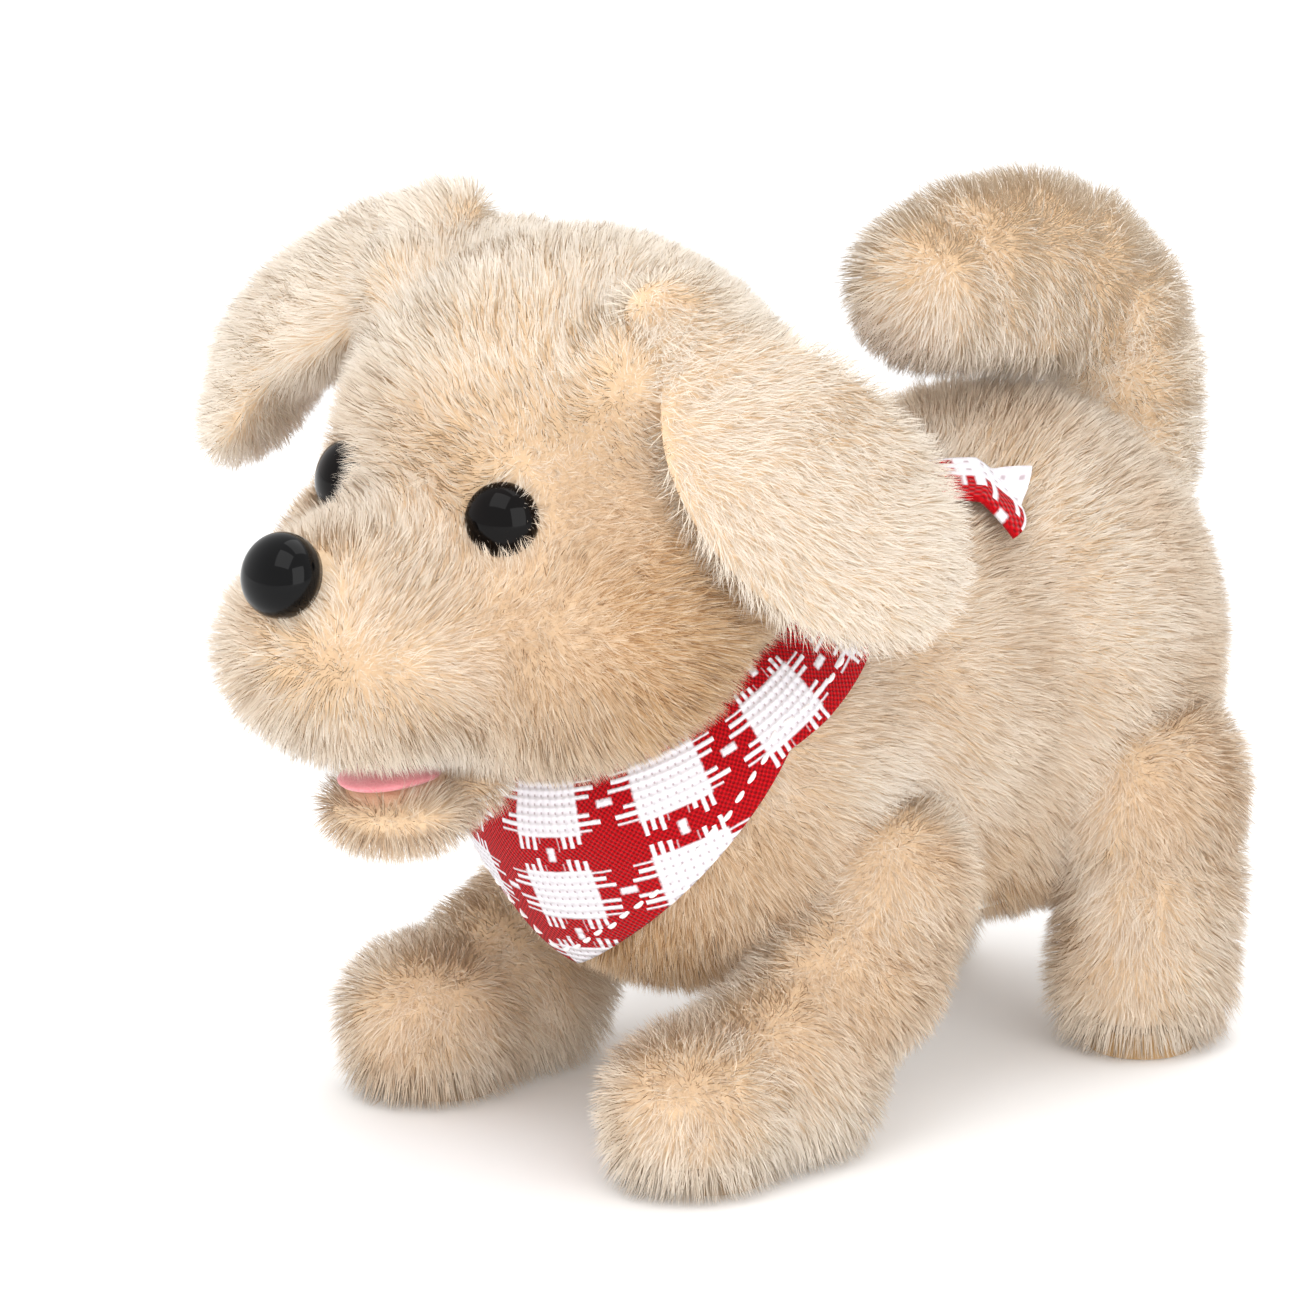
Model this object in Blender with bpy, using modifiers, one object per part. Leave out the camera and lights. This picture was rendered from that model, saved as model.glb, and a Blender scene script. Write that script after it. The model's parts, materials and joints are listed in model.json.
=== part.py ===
"""Walking plush puppy: furry soft parts around a plastic chassis with motor, gears, legs, jaw and tail.

The puppy faces -Y and its left side is +X. Dimensions are in millimetres, in a frame whose X = 0 is
the puppy's middle plane; body_origin moves it so that the whole stands on Z = 0 about the origin.
Soft parts are plain closed solids a little inside the tips of the pile.
"""

import math

import bmesh
import bpy
from mathutils import Matrix, Vector

MM = 0.001

# ---- driving dimensions, in millimetres -------------------------------------------------------
# The right ear flares out sideways, so the middle of the whole box lies right of the body's middle.
BOX_CENTRE = (-13.5, 58.4)
FLOOR = 5.0                # z of the floor
PILE_DROP = 4.0            # from the tips of the pile down to the solid
GAP = 0.3                  # between neighbours that touch
SOFT_GAP = 1.5             # between two soft parts, or a soft part and what moves beside it
COARSE = 9.0               # grain of the large soft solids
FINE = 7.0                 # grain of the small soft solids
FACE_SHARE = 0.45          # of the soft solids' faces that are kept
SMALL_RADIUS = 3.0         # rods thinner than this have fewer sides

FRONT_HIP = (62.0, 57.0)   # y, z of the hip axles
REAR_HIP = (138.0, 57.0)
LEG_SWING = 8.0            # degrees each way
JAW_PIVOT = (0.0, -9.0, 91.0)
JAW_CLOSE = -4.0
JAW_OPEN = 10.0
TAIL_PIVOT = (0.0, 168.0, 110.0)
TAIL_SWING = 20.0

CHASSIS_LOW = (-20.0, 52.0, 52.0)
CHASSIS_HIGH = (20.0, 146.0, 90.0)
CHASSIS_WALL = 1.8
BATTERY_BOX_LOW = (-17.0, 66.0, 36.0)
BATTERY_BOX_HIGH = (17.0, 122.0, 51.7)
CELL_RADIUS = 7.1
CELL_LENGTH = 49.0
HEAD_FRAME_LOW = (-19.0, -15.0, 100.0)
HEAD_FRAME_HIGH = (19.0, 32.0, 136.0)
AXLE_RADIUS = 1.5
PIN_RADIUS = 1.0

GEAR_MODULE = 0.75
PINION_TEETH = 8
WHEEL_TEETH = 24
MESH_PLAY = 0.2            # added to the centre distance of each gear pair
GEAR_WIDTH = 3.0
MOTOR_AXIS = (72.0, 76.0)  # y, z
CRANK_AXIS = (100.0, 64.0)
CRANK_THROW = 5.0

EYE_CENTRE = (24.5, -27.0, 141.5)
EYE_OUTWARD = (0.5, -0.83, 0.2)
EYE_RADII = (7.0, 7.0, 4.6)
NOSE_CENTRE = (0.0, -60.0, 132.0)
NOSE_OUTWARD = (0.0, -0.93, 0.36)
NOSE_RADII = (8.8, 8.4, 6.0)
STEM_RADIUS = 1.8
STEM_LENGTH = 13.5
STEM_ROOM = 5.2            # radius of the hole in the stuffing round a stem
WASHER_RADIUS = 4.7
WASHER_THICKNESS = 1.4
WASHER_DEPTH = 9.0         # from the middle of the eye in to its washer

FRONT_TOE = 14.0           # y of the sole pads
REAR_TOE = 137.0
TOE_SPREAD = 39.0          # x of the sole pads
PAD_RADIUS = 11.0
PAD_HEIGHT = 4.6
LEG_HUB_RADIUS = 5.0
LEG_STRUT_RADIUS = 3.0
LEG_ROOM = 0.7             # between a leg's frame and its stuffing
LEVER_X = (20.6, 23.0)     # inner and outer side of the drive levers
LEVER_HEIGHT = 7.0
FRONT_LEVER_END = 90.0     # y
REAR_LEVER_END = 110.0

SCARF_COLUMNS = 32
SCARF_ROWS = 4
SCARF_INNER = 46.0         # polar angle of the inner edge, which runs in under the head
SCARF_LIFT = -1.0          # from the tips of the pile, outwards
SCARF_THICKNESS = 1.2
KNOT_FORM = [((0.0, 72.5, 137.2), (9.0, 7.0, 5.0))]
TIE_START = (4.0, 75.0, 136.5)
TIE_END = (29.0, 104.0, 120.0)
TIE_WIDE = (6.0, -4.0, 0.0)
TIE_LIFT = 1.5
TIE_ROWS = 6
TIE_COLUMNS = 3
TONGUE_FORM = [((0.0, -31.0, 88.2), (10.0, 13.0, 1.8))]

# Soft forms as overlapping ellipsoids: centre and radii out to the tips of the pile.
CHEST = ((0.0, 48.0, 78.0), (49.0, 49.0, 50.0))
BACK = ((0.0, 88.0, 84.0), (50.0, 49.0, 54.0))
RUMP = ((0.0, 130.0, 83.5), (50.0, 52.0, 57.5))
BODY_FORM = [CHEST, BACK, RUMP]
HEAD_FORM = [
    ((0.0, 16.0, 139.0), (51.0, 50.0, 51.0)),
    ((0.0, -2.0, 117.0), (54.0, 44.0, 35.0)),
    ((0.0, -39.0, 114.0), (33.0, 29.0, 24.0)),
    ((0.0, -39.0, 128.0), (20.0, 22.0, 14.0)),
]
JAW_FORM = [
    ((0.0, -32.0, 81.0), (16.5, 16.0, 9.5)),
    ((0.0, -16.0, 85.0), (13.0, 12.0, 9.5)),
]
FRONT_LEG_FORM = [
    ((40.0, 62.0, 56.0), (19.5, 21.0, 21.0)),
    ((40.0, 52.0, 39.0), (19.5, 24.0, 21.0)),
    ((39.5, 35.0, 26.0), (19.5, 25.0, 20.5)),
    ((39.0, 12.0, 22.5), (20.0, 24.0, 17.5)),
]
REAR_LEG_FORM = [
    ((37.0, 139.0, 58.0), (22.0, 26.0, 26.0)),
    ((37.0, 141.0, 38.0), (21.0, 23.0, 21.0)),
    ((37.0, 140.0, 22.5), (20.5, 23.5, 17.5)),
]
TAIL_LINE = [(167.0, 110.0), (169.5, 122.0), (170.0, 136.0), (164.5, 151.0), (153.0, 161.0),
             (139.0, 166.0), (124.0, 166.0), (112.0, 162.0)]
TAIL_RADIUS = 19.0
TAIL_CURL = ((0.0, 128.0, 156.0), (17.0, 32.0, 15.0))
TAIL_ROOT_BLOBS = 4        # blobs of the tail that swing inside the rump's socket
SIDES = ((1, "left"), (-1, "right"))
EAR_FORMS = {
    "left": [((55.0, 25.0, 144.0), (12.0, 28.5, 44.0), (20, 51, -51), (1, 0, 0)),
             ((38.0, 10.0, 171.0), (12.0, 16.5, 22.0), (22, 51, -51), (1, 0, 0))],
    "right": [((-64.0, 10.0, 165.0), (14.0, 26.0, 40.0), (-65, -7, -36), (0, -0.5, 0.86)),
              ((-42.0, 14.0, 178.0), (12.0, 20.0, 18.0), (-65, -7, -30), (0, -0.5, 0.86)),
              ((-81.0, 5.0, 146.0), (12.0, 23.0, 22.0), (-40, -5, -50), (-0.6, -0.5, 0.5))],
}
EAR_DROP = 2.5             # from the tips of the pile down to the solid, on the ears and the jaw

# Centre lines, as x, y, z.
NECK_LINE = [(0, 60, 86), (0, 60, 92), (0, 58, 97), (0, 48, 105), (0, 30, 113), (0, 22, 114),
             (0, 16, 114)]
BRACKET_LINE = [(0, 149.6, 79), (0, 153, 85), (0, 160, 91), (0, TAIL_PIVOT[1], 95)]
GEAR_DISTANCE = GEAR_MODULE * (PINION_TEETH + WHEEL_TEETH) / 2 + MESH_PLAY

WHITE_PLASTIC = ("white_plastic", (0.80, 0.80, 0.78), 0.45, 0.0)
GREY_PLASTIC = ("grey_plastic", (0.32, 0.33, 0.35), 0.5, 0.0)
STEEL = ("steel", (0.62, 0.62, 0.64), 0.3, 1.0)
PLUSH = ("plush", (0.78, 0.60, 0.38), 0.95, 0.0)


def point(values):
    """Millimetres as a vector in metres."""
    return Vector(values) * MM


def clear_scene():
    for obj in list(bpy.data.objects):
        bpy.data.objects.remove(obj, do_unlink=True)


def make_material(look):
    """A Principled material from (name, colour, roughness, metallic)."""
    name, colour, roughness, metallic = look
    if name in bpy.data.materials:
        return bpy.data.materials[name]
    material = bpy.data.materials.new(name)
    material.use_nodes = True
    shader = material.node_tree.nodes["Principled BSDF"]
    shader.inputs["Base Color"].default_value = (*colour, 1.0)
    shader.inputs["Roughness"].default_value = roughness
    shader.inputs["Metallic"].default_value = metallic
    return material


def add_object(name, data, look):
    """An object in the parts collection, or a hidden cutter where look is None."""
    obj = bpy.data.objects.new(name, data)
    if look is None:
        cutters.objects.link(obj)
        obj.hide_render = True
        obj.display_type = "WIRE"
    else:
        parts.objects.link(obj)
        data.materials.append(make_material(look))
    obj.parent = body_origin
    return obj


def from_bmesh(name, bm, look, smooth=False):
    mesh = bpy.data.meshes.new(name)
    bmesh.ops.recalc_face_normals(bm, faces=bm.faces)
    bm.to_mesh(mesh)
    bm.free()
    if smooth:
        mesh.shade_smooth()
    return add_object(name, mesh, look)


def set_pivot(obj, pivot):
    """Moves the object's own origin to the pivot and leaves its shape where it is."""
    obj.data.transform(Matrix.Translation(-point(pivot)))
    obj.location = point(pivot)


def box(name, low, high, look=None, bevel=0.0):
    """A box between two corners."""
    low, high = point(low), point(high)
    bm = bmesh.new()
    size = Matrix.Diagonal((*(high - low), 1.0))
    bmesh.ops.create_cube(bm, size=1.0, matrix=Matrix.Translation((low + high) / 2) @ size)
    obj = from_bmesh(name, bm, look)
    if bevel:
        rounding = obj.modifiers.new("rounding", "BEVEL")
        rounding.width = bevel * MM
        rounding.segments = 2
    return obj


def rod(name, start, end, radius, look=None, sides=None, end_radius=None):
    """A cylinder, or a cone where end_radius differs, between two points."""
    start, end = point(start), point(end)
    sides = sides or (12 if radius < SMALL_RADIUS else 20)
    turn = (end - start).to_track_quat("Z", "Y").to_matrix().to_4x4()
    bm = bmesh.new()
    bmesh.ops.create_cone(
        bm, cap_ends=True, segments=sides, radius1=radius * MM,
        radius2=(radius if end_radius is None else end_radius) * MM,
        depth=(end - start).length, matrix=Matrix.Translation((start + end) / 2) @ turn)
    obj = from_bmesh(name, bm, look)
    obj.data.shade_smooth()
    obj.data.set_sharp_from_angle(angle=math.radians(40))
    return obj


def turned(form, degrees, pivot, axis):
    """The ellipsoids of a form turned about an axis through the pivot."""
    turn = Matrix.Translation(pivot) @ Matrix.Rotation(math.radians(degrees), 4, axis)
    turn = turn @ Matrix.Translation(-Vector(pivot))
    return [(tuple(turn @ Vector(piece[0])), *piece[1:]) for piece in form]


def mirrored(form, side):
    return [((side * piece[0][0], *piece[0][1:]), *piece[1:]) for piece in form]


def soft_solid(name, form, grow=-PILE_DROP, grain=COARSE, look=None):
    """One smooth closed solid round overlapping ellipsoids, each (centre, radii[, long axis, normal])."""
    bm = bmesh.new()
    for centre, radii, *axes in form:
        turn = Matrix.Identity(3)
        if axes:
            along, normal = Vector(axes[0]).normalized(), Vector(axes[1])
            normal = (normal - normal.dot(along) * along).normalized()
            turn = Matrix((normal, along.cross(normal), along)).transposed()
        size = Matrix.Diagonal([(radius + grow) * MM for radius in radii])
        shape = Matrix.Translation(point(centre)) @ (turn @ size).to_4x4()
        count = 15 if grain is None else 30
        bmesh.ops.create_uvsphere(bm, u_segments=count, v_segments=count * 2 // 3, radius=1.0,
                                  matrix=shape)
    obj = from_bmesh(name, bm, look, smooth=True)
    if grain is None:
        return obj
    skin = obj.modifiers.new("one_skin", "REMESH")
    skin.mode = "VOXEL"
    skin.voxel_size = grain * MM
    skin.use_smooth_shade = True
    even = obj.modifiers.new("even", "SMOOTH")
    even.factor = 0.5
    even.iterations = 2
    fewer = obj.modifiers.new("fewer", "DECIMATE")
    fewer.ratio = FACE_SHARE
    return obj


def combine(obj, other, operation="DIFFERENCE", solver="EXACT"):
    cut = obj.modifiers.new(other.name, "BOOLEAN")
    cut.operation = operation
    cut.solver = solver
    cut.object = other
    return obj


def cut_all(obj, others):
    for other in others:
        combine(obj, other)
    return obj


def tube(name, points, radius, look=None, resolution=3):
    """A round bar along points, made a mesh so that it can be cut or joined."""
    curve = bpy.data.curves.new(name, "CURVE")
    curve.dimensions = "3D"
    curve.bevel_depth = radius * MM
    curve.bevel_resolution = resolution
    curve.use_fill_caps = True
    spline = curve.splines.new("POLY")
    spline.points.add(len(points) - 1)
    for knot, place in zip(spline.points, points):
        knot.co = (*point(place), 1.0)
    return curve_mesh(name, curve, look)


def curve_mesh(name, curve, look):
    """The curve's solid as a mesh object with welded caps."""
    guide = bpy.data.objects.new(name + "_guide", curve)
    cutters.objects.link(guide)
    graph = bpy.context.evaluated_depsgraph_get()
    mesh = bpy.data.meshes.new_from_object(guide.evaluated_get(graph))
    bpy.data.objects.remove(guide)
    bm = bmesh.new()
    bm.from_mesh(mesh)
    bmesh.ops.remove_doubles(bm, verts=bm.verts, dist=0.00001)
    return from_bmesh(name, bm, look)


def plate(name, outlines, centre, thickness, look=None):
    """A flat plate across X: outlines are loops of (y, z) about centre, the first one outside."""
    curve = bpy.data.curves.new(name, "CURVE")
    curve.dimensions = "2D"
    curve.fill_mode = "BOTH"
    curve.extrude = thickness / 2 * MM
    for outline in outlines:
        spline = curve.splines.new("POLY")
        spline.points.add(len(outline) - 1)
        for knot, (y, z) in zip(spline.points, outline):
            knot.co = (y * MM, z * MM, 0.0, 1.0)
        spline.use_cyclic_u = True
    obj = curve_mesh(name, curve, look)
    across = Matrix(((0, 0, 1), (1, 0, 0), (0, 1, 0))).to_4x4()
    obj.data.transform(Matrix.Translation(point(centre)) @ across)
    return obj


def circle(radius, count):
    return [(radius * math.cos(math.tau * i / count), radius * math.sin(math.tau * i / count))
            for i in range(count)]


def gear_outline(teeth, phase):
    """Plain straight-sided teeth, narrow enough to run clear; phase in tooth pitches."""
    pitch_radius = GEAR_MODULE * teeth / 2
    outline = []
    for tooth in range(teeth):
        for offset, rise in ((-0.27, -1.15), (-0.11, 0.7), (0.11, 0.7), (0.27, -1.15)):
            angle = math.tau * (tooth + offset + phase) / teeth
            radius = pitch_radius + rise * GEAR_MODULE
            outline.append((radius * math.cos(angle), radius * math.sin(angle)))
    return outline


def gear(name, centre, layers, look):
    """A gear with a bore, from layers of (teeth, phase, low x, high x), joined where there are two."""
    solids = []
    for index, (teeth, phase, low, high) in enumerate(layers):
        outlines = [gear_outline(teeth, phase), circle(PIN_RADIUS + GAP, 12)]
        label = name if index == 0 else name + "_step"
        middle = ((low + high) / 2, *centre)
        solids.append(plate(label, outlines, middle, high - low, look if index == 0 else None))
    for step in solids[1:]:
        combine(solids[0], step, "UNION")
    return solids[0]


def gear_centre(first, second, distance):
    """The upper point at the same distance from two centres in the y, z plane."""
    first, second = Vector(first), Vector(second)
    middle = (first + second) / 2
    half = (second - first) / 2
    rise = math.sqrt(distance**2 - half.length**2)
    return tuple(middle + rise * Vector((-half.y, half.x)).normalized())


def phases(wheel_centre, pinion_centre):
    """Tooth phases that put a wheel's tooth in a pinion's gap on the line of centres."""
    angle = math.atan2(pinion_centre[1] - wheel_centre[1], pinion_centre[0] - wheel_centre[0])
    return (angle * WHEEL_TEETH / math.tau, (angle + math.pi) * PINION_TEETH / math.tau + 0.5)


def open_box(name, low, high, missing, wall, look, axis=0):
    """A thin box without its face towards `missing` (+1 or -1) along the axis."""
    obj = box(name, low, high, look)
    bm = bmesh.new()
    bm.from_mesh(obj.data)
    faces = [face for face in bm.faces if face.normal[axis] * missing > 0.9]
    bmesh.ops.delete(bm, geom=faces, context="FACES_ONLY")
    bm.to_mesh(obj.data)
    bm.free()
    walls = obj.modifiers.new("walls", "SOLIDIFY")
    walls.thickness = wall * MM
    walls.offset = -1.0
    walls.use_even_offset = True
    return obj


def across(name, y, z, low, high, radius, look=None, sides=None):
    """A rod along X at (y, z)."""
    return rod(name, (low, y, z), (high, y, z), radius, look, sides)


# ---- soft parts -------------------------------------------------------------------------------
def leg_sweep(name, form, side, hip):
    """The space that a leg takes over its whole swing."""
    pivot = (0.0, *hip)
    form = mirrored(form, side)
    swept = [piece for angle in (-LEG_SWING, 0.0, LEG_SWING)
             for piece in turned(form, angle, pivot, "X")]
    return soft_solid(name, swept, SOFT_GAP - PILE_DROP, FINE)


def build_body():
    body = soft_solid("body_plush", BODY_FORM, look=PLUSH)
    head_space = soft_solid("head_space", HEAD_FORM, SOFT_GAP - PILE_DROP, COARSE)
    jaw_form = [piece for angle in (JAW_CLOSE, 0.0, JAW_OPEN)
                for piece in turned(JAW_FORM, angle, JAW_PIVOT, "X")]
    jaw_space = soft_solid("jaw_space", jaw_form, SOFT_GAP - EAR_DROP, 5.0)
    tail_form = [piece for angle in (-TAIL_SWING, 0.0, TAIL_SWING)
                 for piece in turned(tail_blobs()[:TAIL_ROOT_BLOBS], angle, TAIL_PIVOT, "Z")]
    tail_space = soft_solid("tail_space", tail_form, SOFT_GAP - PILE_DROP, FINE)
    inside = box("inside_space", (-26.5, 48.0, 47.0), (26.5, 148.0, 92.0))
    bracket = box("bracket_plate_space", (-7.0, 140.0, 69.0), (7.0, 150.2, 91.0))
    cut_all(body, [head_space, jaw_space, tail_space, inside, bracket])
    for side, word in SIDES:
        cut_all(body, [leg_sweep(f"front_{word}_space", FRONT_LEG_FORM, side, FRONT_HIP),
                       leg_sweep(f"rear_{word}_space", REAR_LEG_FORM, side, REAR_HIP)])
    low, high = Vector(BATTERY_BOX_LOW), Vector(BATTERY_BOX_HIGH)
    spare = Vector((0.6, 0.6, 0.0))
    cut_all(body, [
        box("battery_space", low - spare - Vector((0, 0, 20)), high + spare),
        box("switch_space", (-5.6, 54.4, 15.0), (5.6, 64.6, 52.0)),
        tube("neck_space", NECK_LINE, 6.5),
        tube("bracket_space", BRACKET_LINE, 4.6),
        rod("tail_boss_space", (0, TAIL_PIVOT[1], 88.0), (0, TAIL_PIVOT[1], 112.0), 6.5)])
    return body, head_space, jaw_space


def build_head(head_space, jaw_space):
    head = soft_solid("head_plush", HEAD_FORM, look=PLUSH)
    low, high = Vector(HEAD_FRAME_LOW), Vector(HEAD_FRAME_HIGH)
    spare = Vector((1.0, 1.0, 1.0))
    frame_space = box("frame_space", low - spare, high + spare)
    lug_space = box("lug_space", (-15.0, JAW_PIVOT[1] - 6.5, 84.0), (15.0, JAW_PIVOT[1] + 6.5, 102.0))
    cut_all(head, [jaw_space, frame_space, lug_space, bpy.data.objects["neck_space"]])
    for name, centre, outward, radii in buttons():
        centre, outward = Vector(centre), Vector(outward).normalized()
        cut_all(head, [
            rod(name + "_hole", centre - outward * (STEM_LENGTH + 1.5), centre, STEM_ROOM),
            soft_solid(name + "_seat", [(centre, radii, tuple(outward), (1, 0, 0))], 0.6, None)])
    for side, word in SIDES:
        ear = soft_solid(f"ear_{word}", EAR_FORMS[word], -EAR_DROP, FINE, PLUSH)
        combine(ear, head_space)


def tail_blobs():
    return [((0.0, y, z), (TAIL_RADIUS,) * 3) for y, z in TAIL_LINE] + [TAIL_CURL]


def build_tail():
    tail = soft_solid("tail_plush", tail_blobs(), grain=FINE, look=PLUSH)
    y, z = TAIL_PIVOT[1:]
    core = [(0.0, y, z - 8.0)] + [(0.0, *place) for place in TAIL_LINE[:-1]]
    cut_all(tail, [rod("tail_hub_space", (0, y, z - 24.0), (0, y, z + 1.0), 5.6),
                   tube("tail_core_space", core, 2.6)])
    hub = rod("tail_rod", (0, y, 99.0), (0, y, 107.0), 4.5, WHITE_PLASTIC)
    combine(hub, tube("tail_wire", [(0.0, y, 104.0)] + core[1:-1], 2.0), "UNION")
    combine(hub, rod("tail_bore", (0, y, 95.0), (0, y, 106.0), PIN_RADIUS + GAP))
    rod("tail_pin", (0, y, 92.5), (0, y, 105.5), PIN_RADIUS, STEEL, 12)
    bracket = box("tail_bracket", (-6, 146.3, 70), (6, 149.0, 89), WHITE_PLASTIC)
    combine(bracket, tube("bracket_arm", BRACKET_LINE, 3.4), "UNION")
    combine(bracket, rod("bracket_boss", (0, y, 91.5), (0, y, 98.5), 4.5), "UNION")
    combine(bracket, rod("bracket_bore", (0, y, 92.2), (0, y, 100.0), PIN_RADIUS + GAP))
    for obj in (tail, hub):
        set_pivot(obj, TAIL_PIVOT)


def build_jaw():
    jaw = soft_solid("jaw_plush", JAW_FORM, -EAR_DROP, 4.0, PLUSH)
    y, z = JAW_PIVOT[1:]
    core = box("jaw_core", (-7.0, -40.0, 80.5), (7.0, y, 83.0))
    frame = across("jaw_frame", y, z, -8.5, 8.5, 3.6, WHITE_PLASTIC)
    arm = box("jaw_arm", (-6.0, y - 2.5, 80.8), (6.0, y + 2.5, z))
    combine(combine(frame, core, "UNION"), arm, "UNION")
    combine(frame, across("jaw_bore", y, z, -10.0, 10.0, PIN_RADIUS + GAP))
    across("jaw_pin", y, z, -14.0, 14.0, PIN_RADIUS, STEEL, 12)
    combine(jaw, box("jaw_core_space", (-9.4, -40.6, 79.7), (9.4, 8.0, 100.0)))
    tongue = soft_solid("tongue", TONGUE_FORM, 0.0, None,
                        ("tongue_fabric", (0.80, 0.36, 0.36), 0.85, 0.0))
    for obj in (jaw, frame, tongue):
        set_pivot(obj, JAW_PIVOT)


def build_leg(end, form, hip, toe, lever_end, side, word):
    """A stuffed leg round its frame, whose strut ends on the sole pad and whose lever meets the crank."""
    y, z = hip
    label = f"leg_{end}_{word}"
    ankle = FLOOR + PAD_HEIGHT + 2.6
    knee = [(side * (TOE_SPREAD + 1.0), y, z), (side * (TOE_SPREAD + 0.5), (y + 2 * toe) / 3, 28.0),
            (side * TOE_SPREAD, toe, ankle)]
    sole = tuple(Vector(knee[2]).lerp(Vector(knee[1]), -0.5))
    plush = soft_solid(label + "_plush", mirrored(form, side), grain=FINE, look=PLUSH)
    middle = Vector((side * TOE_SPREAD, toe, FLOOR))
    cut_all(plush, [
        across(label + "_hub_space", y, z, side * 10.0, side * 45.0, LEG_HUB_RADIUS + LEG_ROOM),
        across(label + "_inner_space", y, z, 0.0, side * 24.5, 36.0, sides=40),
        tube(label + "_strut_space", knee[:2] + [sole], LEG_STRUT_RADIUS + LEG_ROOM),
        box(label + "_floor", middle - Vector((40.0, 40.0, 14.0)),
            middle + Vector((40.0, 40.0, PAD_HEIGHT + GAP)))])
    x_low, x_high = sorted(side * x for x in LEVER_X)
    y_low, y_high = sorted((y, lever_end))
    frame = box(label + "_frame", (x_low, y_low, z - LEVER_HEIGHT / 2),
                (x_high, y_high, z + LEVER_HEIGHT / 2), WHITE_PLASTIC)
    hub = across(label + "_hub", y, z, side * 21.2, side * 44.0, LEG_HUB_RADIUS)
    bore = across(label + "_bore", y, z, side * 15.0, side * 50.0, AXLE_RADIUS + GAP)
    combine(frame, hub, "UNION", "MANIFOLD")
    combine(frame, tube(label + "_strut", knee, LEG_STRUT_RADIUS), "UNION", "MANIFOLD")
    combine(frame, bore, "DIFFERENCE", "MANIFOLD")
    pad = rod(label + "_pad", middle, middle + Vector((0.0, 0.0, PAD_HEIGHT)), PAD_RADIUS,
              GREY_PLASTIC, 28, PAD_RADIUS - 1.5)
    for obj in (plush, frame, pad):
        set_pivot(obj, (0.0, y, z))


def build_legs():
    for side, word in SIDES:
        build_leg("front", FRONT_LEG_FORM, FRONT_HIP, FRONT_TOE, FRONT_LEVER_END, side, word)
        build_leg("rear", REAR_LEG_FORM, REAR_HIP, REAR_TOE, REAR_LEVER_END, side, word)
    for end, (y, z) in (("front", FRONT_HIP), ("rear", REAR_HIP)):
        across(f"hip_axle_{end}", y, z, -43.5, 43.5, AXLE_RADIUS, STEEL, 16)


# ---- eyes, nose and bandana -------------------------------------------------------------------
def buttons():
    """Name, centre, outward direction and radii of the buttons on stems."""
    return [(f"eye_{word}", (side * EYE_CENTRE[0], *EYE_CENTRE[1:]),
             (side * EYE_OUTWARD[0], *EYE_OUTWARD[1:]), EYE_RADII) for side, word in SIDES] + [
        ("nose", NOSE_CENTRE, NOSE_OUTWARD, NOSE_RADII)]


def build_buttons():
    """Gloss buttons with stems that go in through the plush; a washer holds each eye."""
    gloss = ("black_gloss", (0.015, 0.013, 0.012), 0.12, 0.0)
    for name, centre, outward, radii in buttons():
        centre, outward = Vector(centre), Vector(outward).normalized()
        cap = soft_solid(name, [(centre, radii, tuple(outward), (1, 0, 0))], 0.0, None, gloss)
        combine(cap, rod(name + "_stem", centre - outward * STEM_LENGTH, centre, STEM_RADIUS), "UNION")
        if name == "nose":
            continue
        front = centre - outward * WASHER_DEPTH
        back = front - outward * WASHER_THICKNESS
        washer = rod(name + "_washer", front, back, WASHER_RADIUS, WHITE_PLASTIC, 24)
        combine(washer, rod(name + "_washer_bore", centre, centre - outward * STEM_LENGTH,
                            STEM_RADIUS + GAP + 0.1))


def on_body(direction, lift):
    """The farthest point of the body's form along a direction from the chest's centre."""
    start = Vector(CHEST[0])
    reach = 0.0
    for centre, radii in BODY_FORM:
        scale = [radius + lift for radius in radii]
        begin = Vector([(s - c) / r for s, c, r in zip(start, centre, scale)])
        step = Vector([d / r for d, r in zip(direction, scale)])
        b, a, c = begin.dot(step), step.dot(step), begin.dot(begin) - 1.0
        if b * b > a * c:
            reach = max(reach, (-b + math.sqrt(b * b - a * c)) / a)
    return (start + direction * reach) * MM


def round_neck(polar, turn):
    """A direction from the chest's centre: polar from the neck's axis, turn round it from the front."""
    neck = (Vector(HEAD_FORM[0][0]) - Vector(CHEST[0])).normalized()
    front = Vector((0.0, -neck.z, neck.y))
    polar, turn = math.radians(polar), math.radians(turn)
    aside = front * math.cos(turn) + Vector((math.sin(turn), 0.0, 0.0))
    return neck * math.cos(polar) + aside * math.sin(polar)


def scarf_edge(turn):
    """Polar angle of the bandana's outer edge: a pointed flap in front, a plain band behind."""
    band = 68.0 - 6.0 * max(0.0, abs(turn) - 90.0) / 90.0
    return max(band, 112.0 - 0.57 * abs(turn))


def grid_sheet(name, rows, columns, place, look, closed=False):
    """A thin solid round a grid of points, place(row, column) in metres."""
    bm = bmesh.new()
    grid = [[bm.verts.new(place(row, column)) for column in range(columns)] for row in range(rows)]
    for row in range(rows - 1):
        for column in range(columns - (0 if closed else 1)):
            after = (column + 1) % columns
            corners = (grid[row][column], grid[row][after], grid[row + 1][after], grid[row + 1][column])
            bm.faces.new(corners)
    obj = from_bmesh(name, bm, look)
    cloth = obj.modifiers.new("cloth", "SOLIDIFY")
    cloth.thickness = SCARF_THICKNESS * MM
    cloth.offset = 0.0
    return obj


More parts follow.
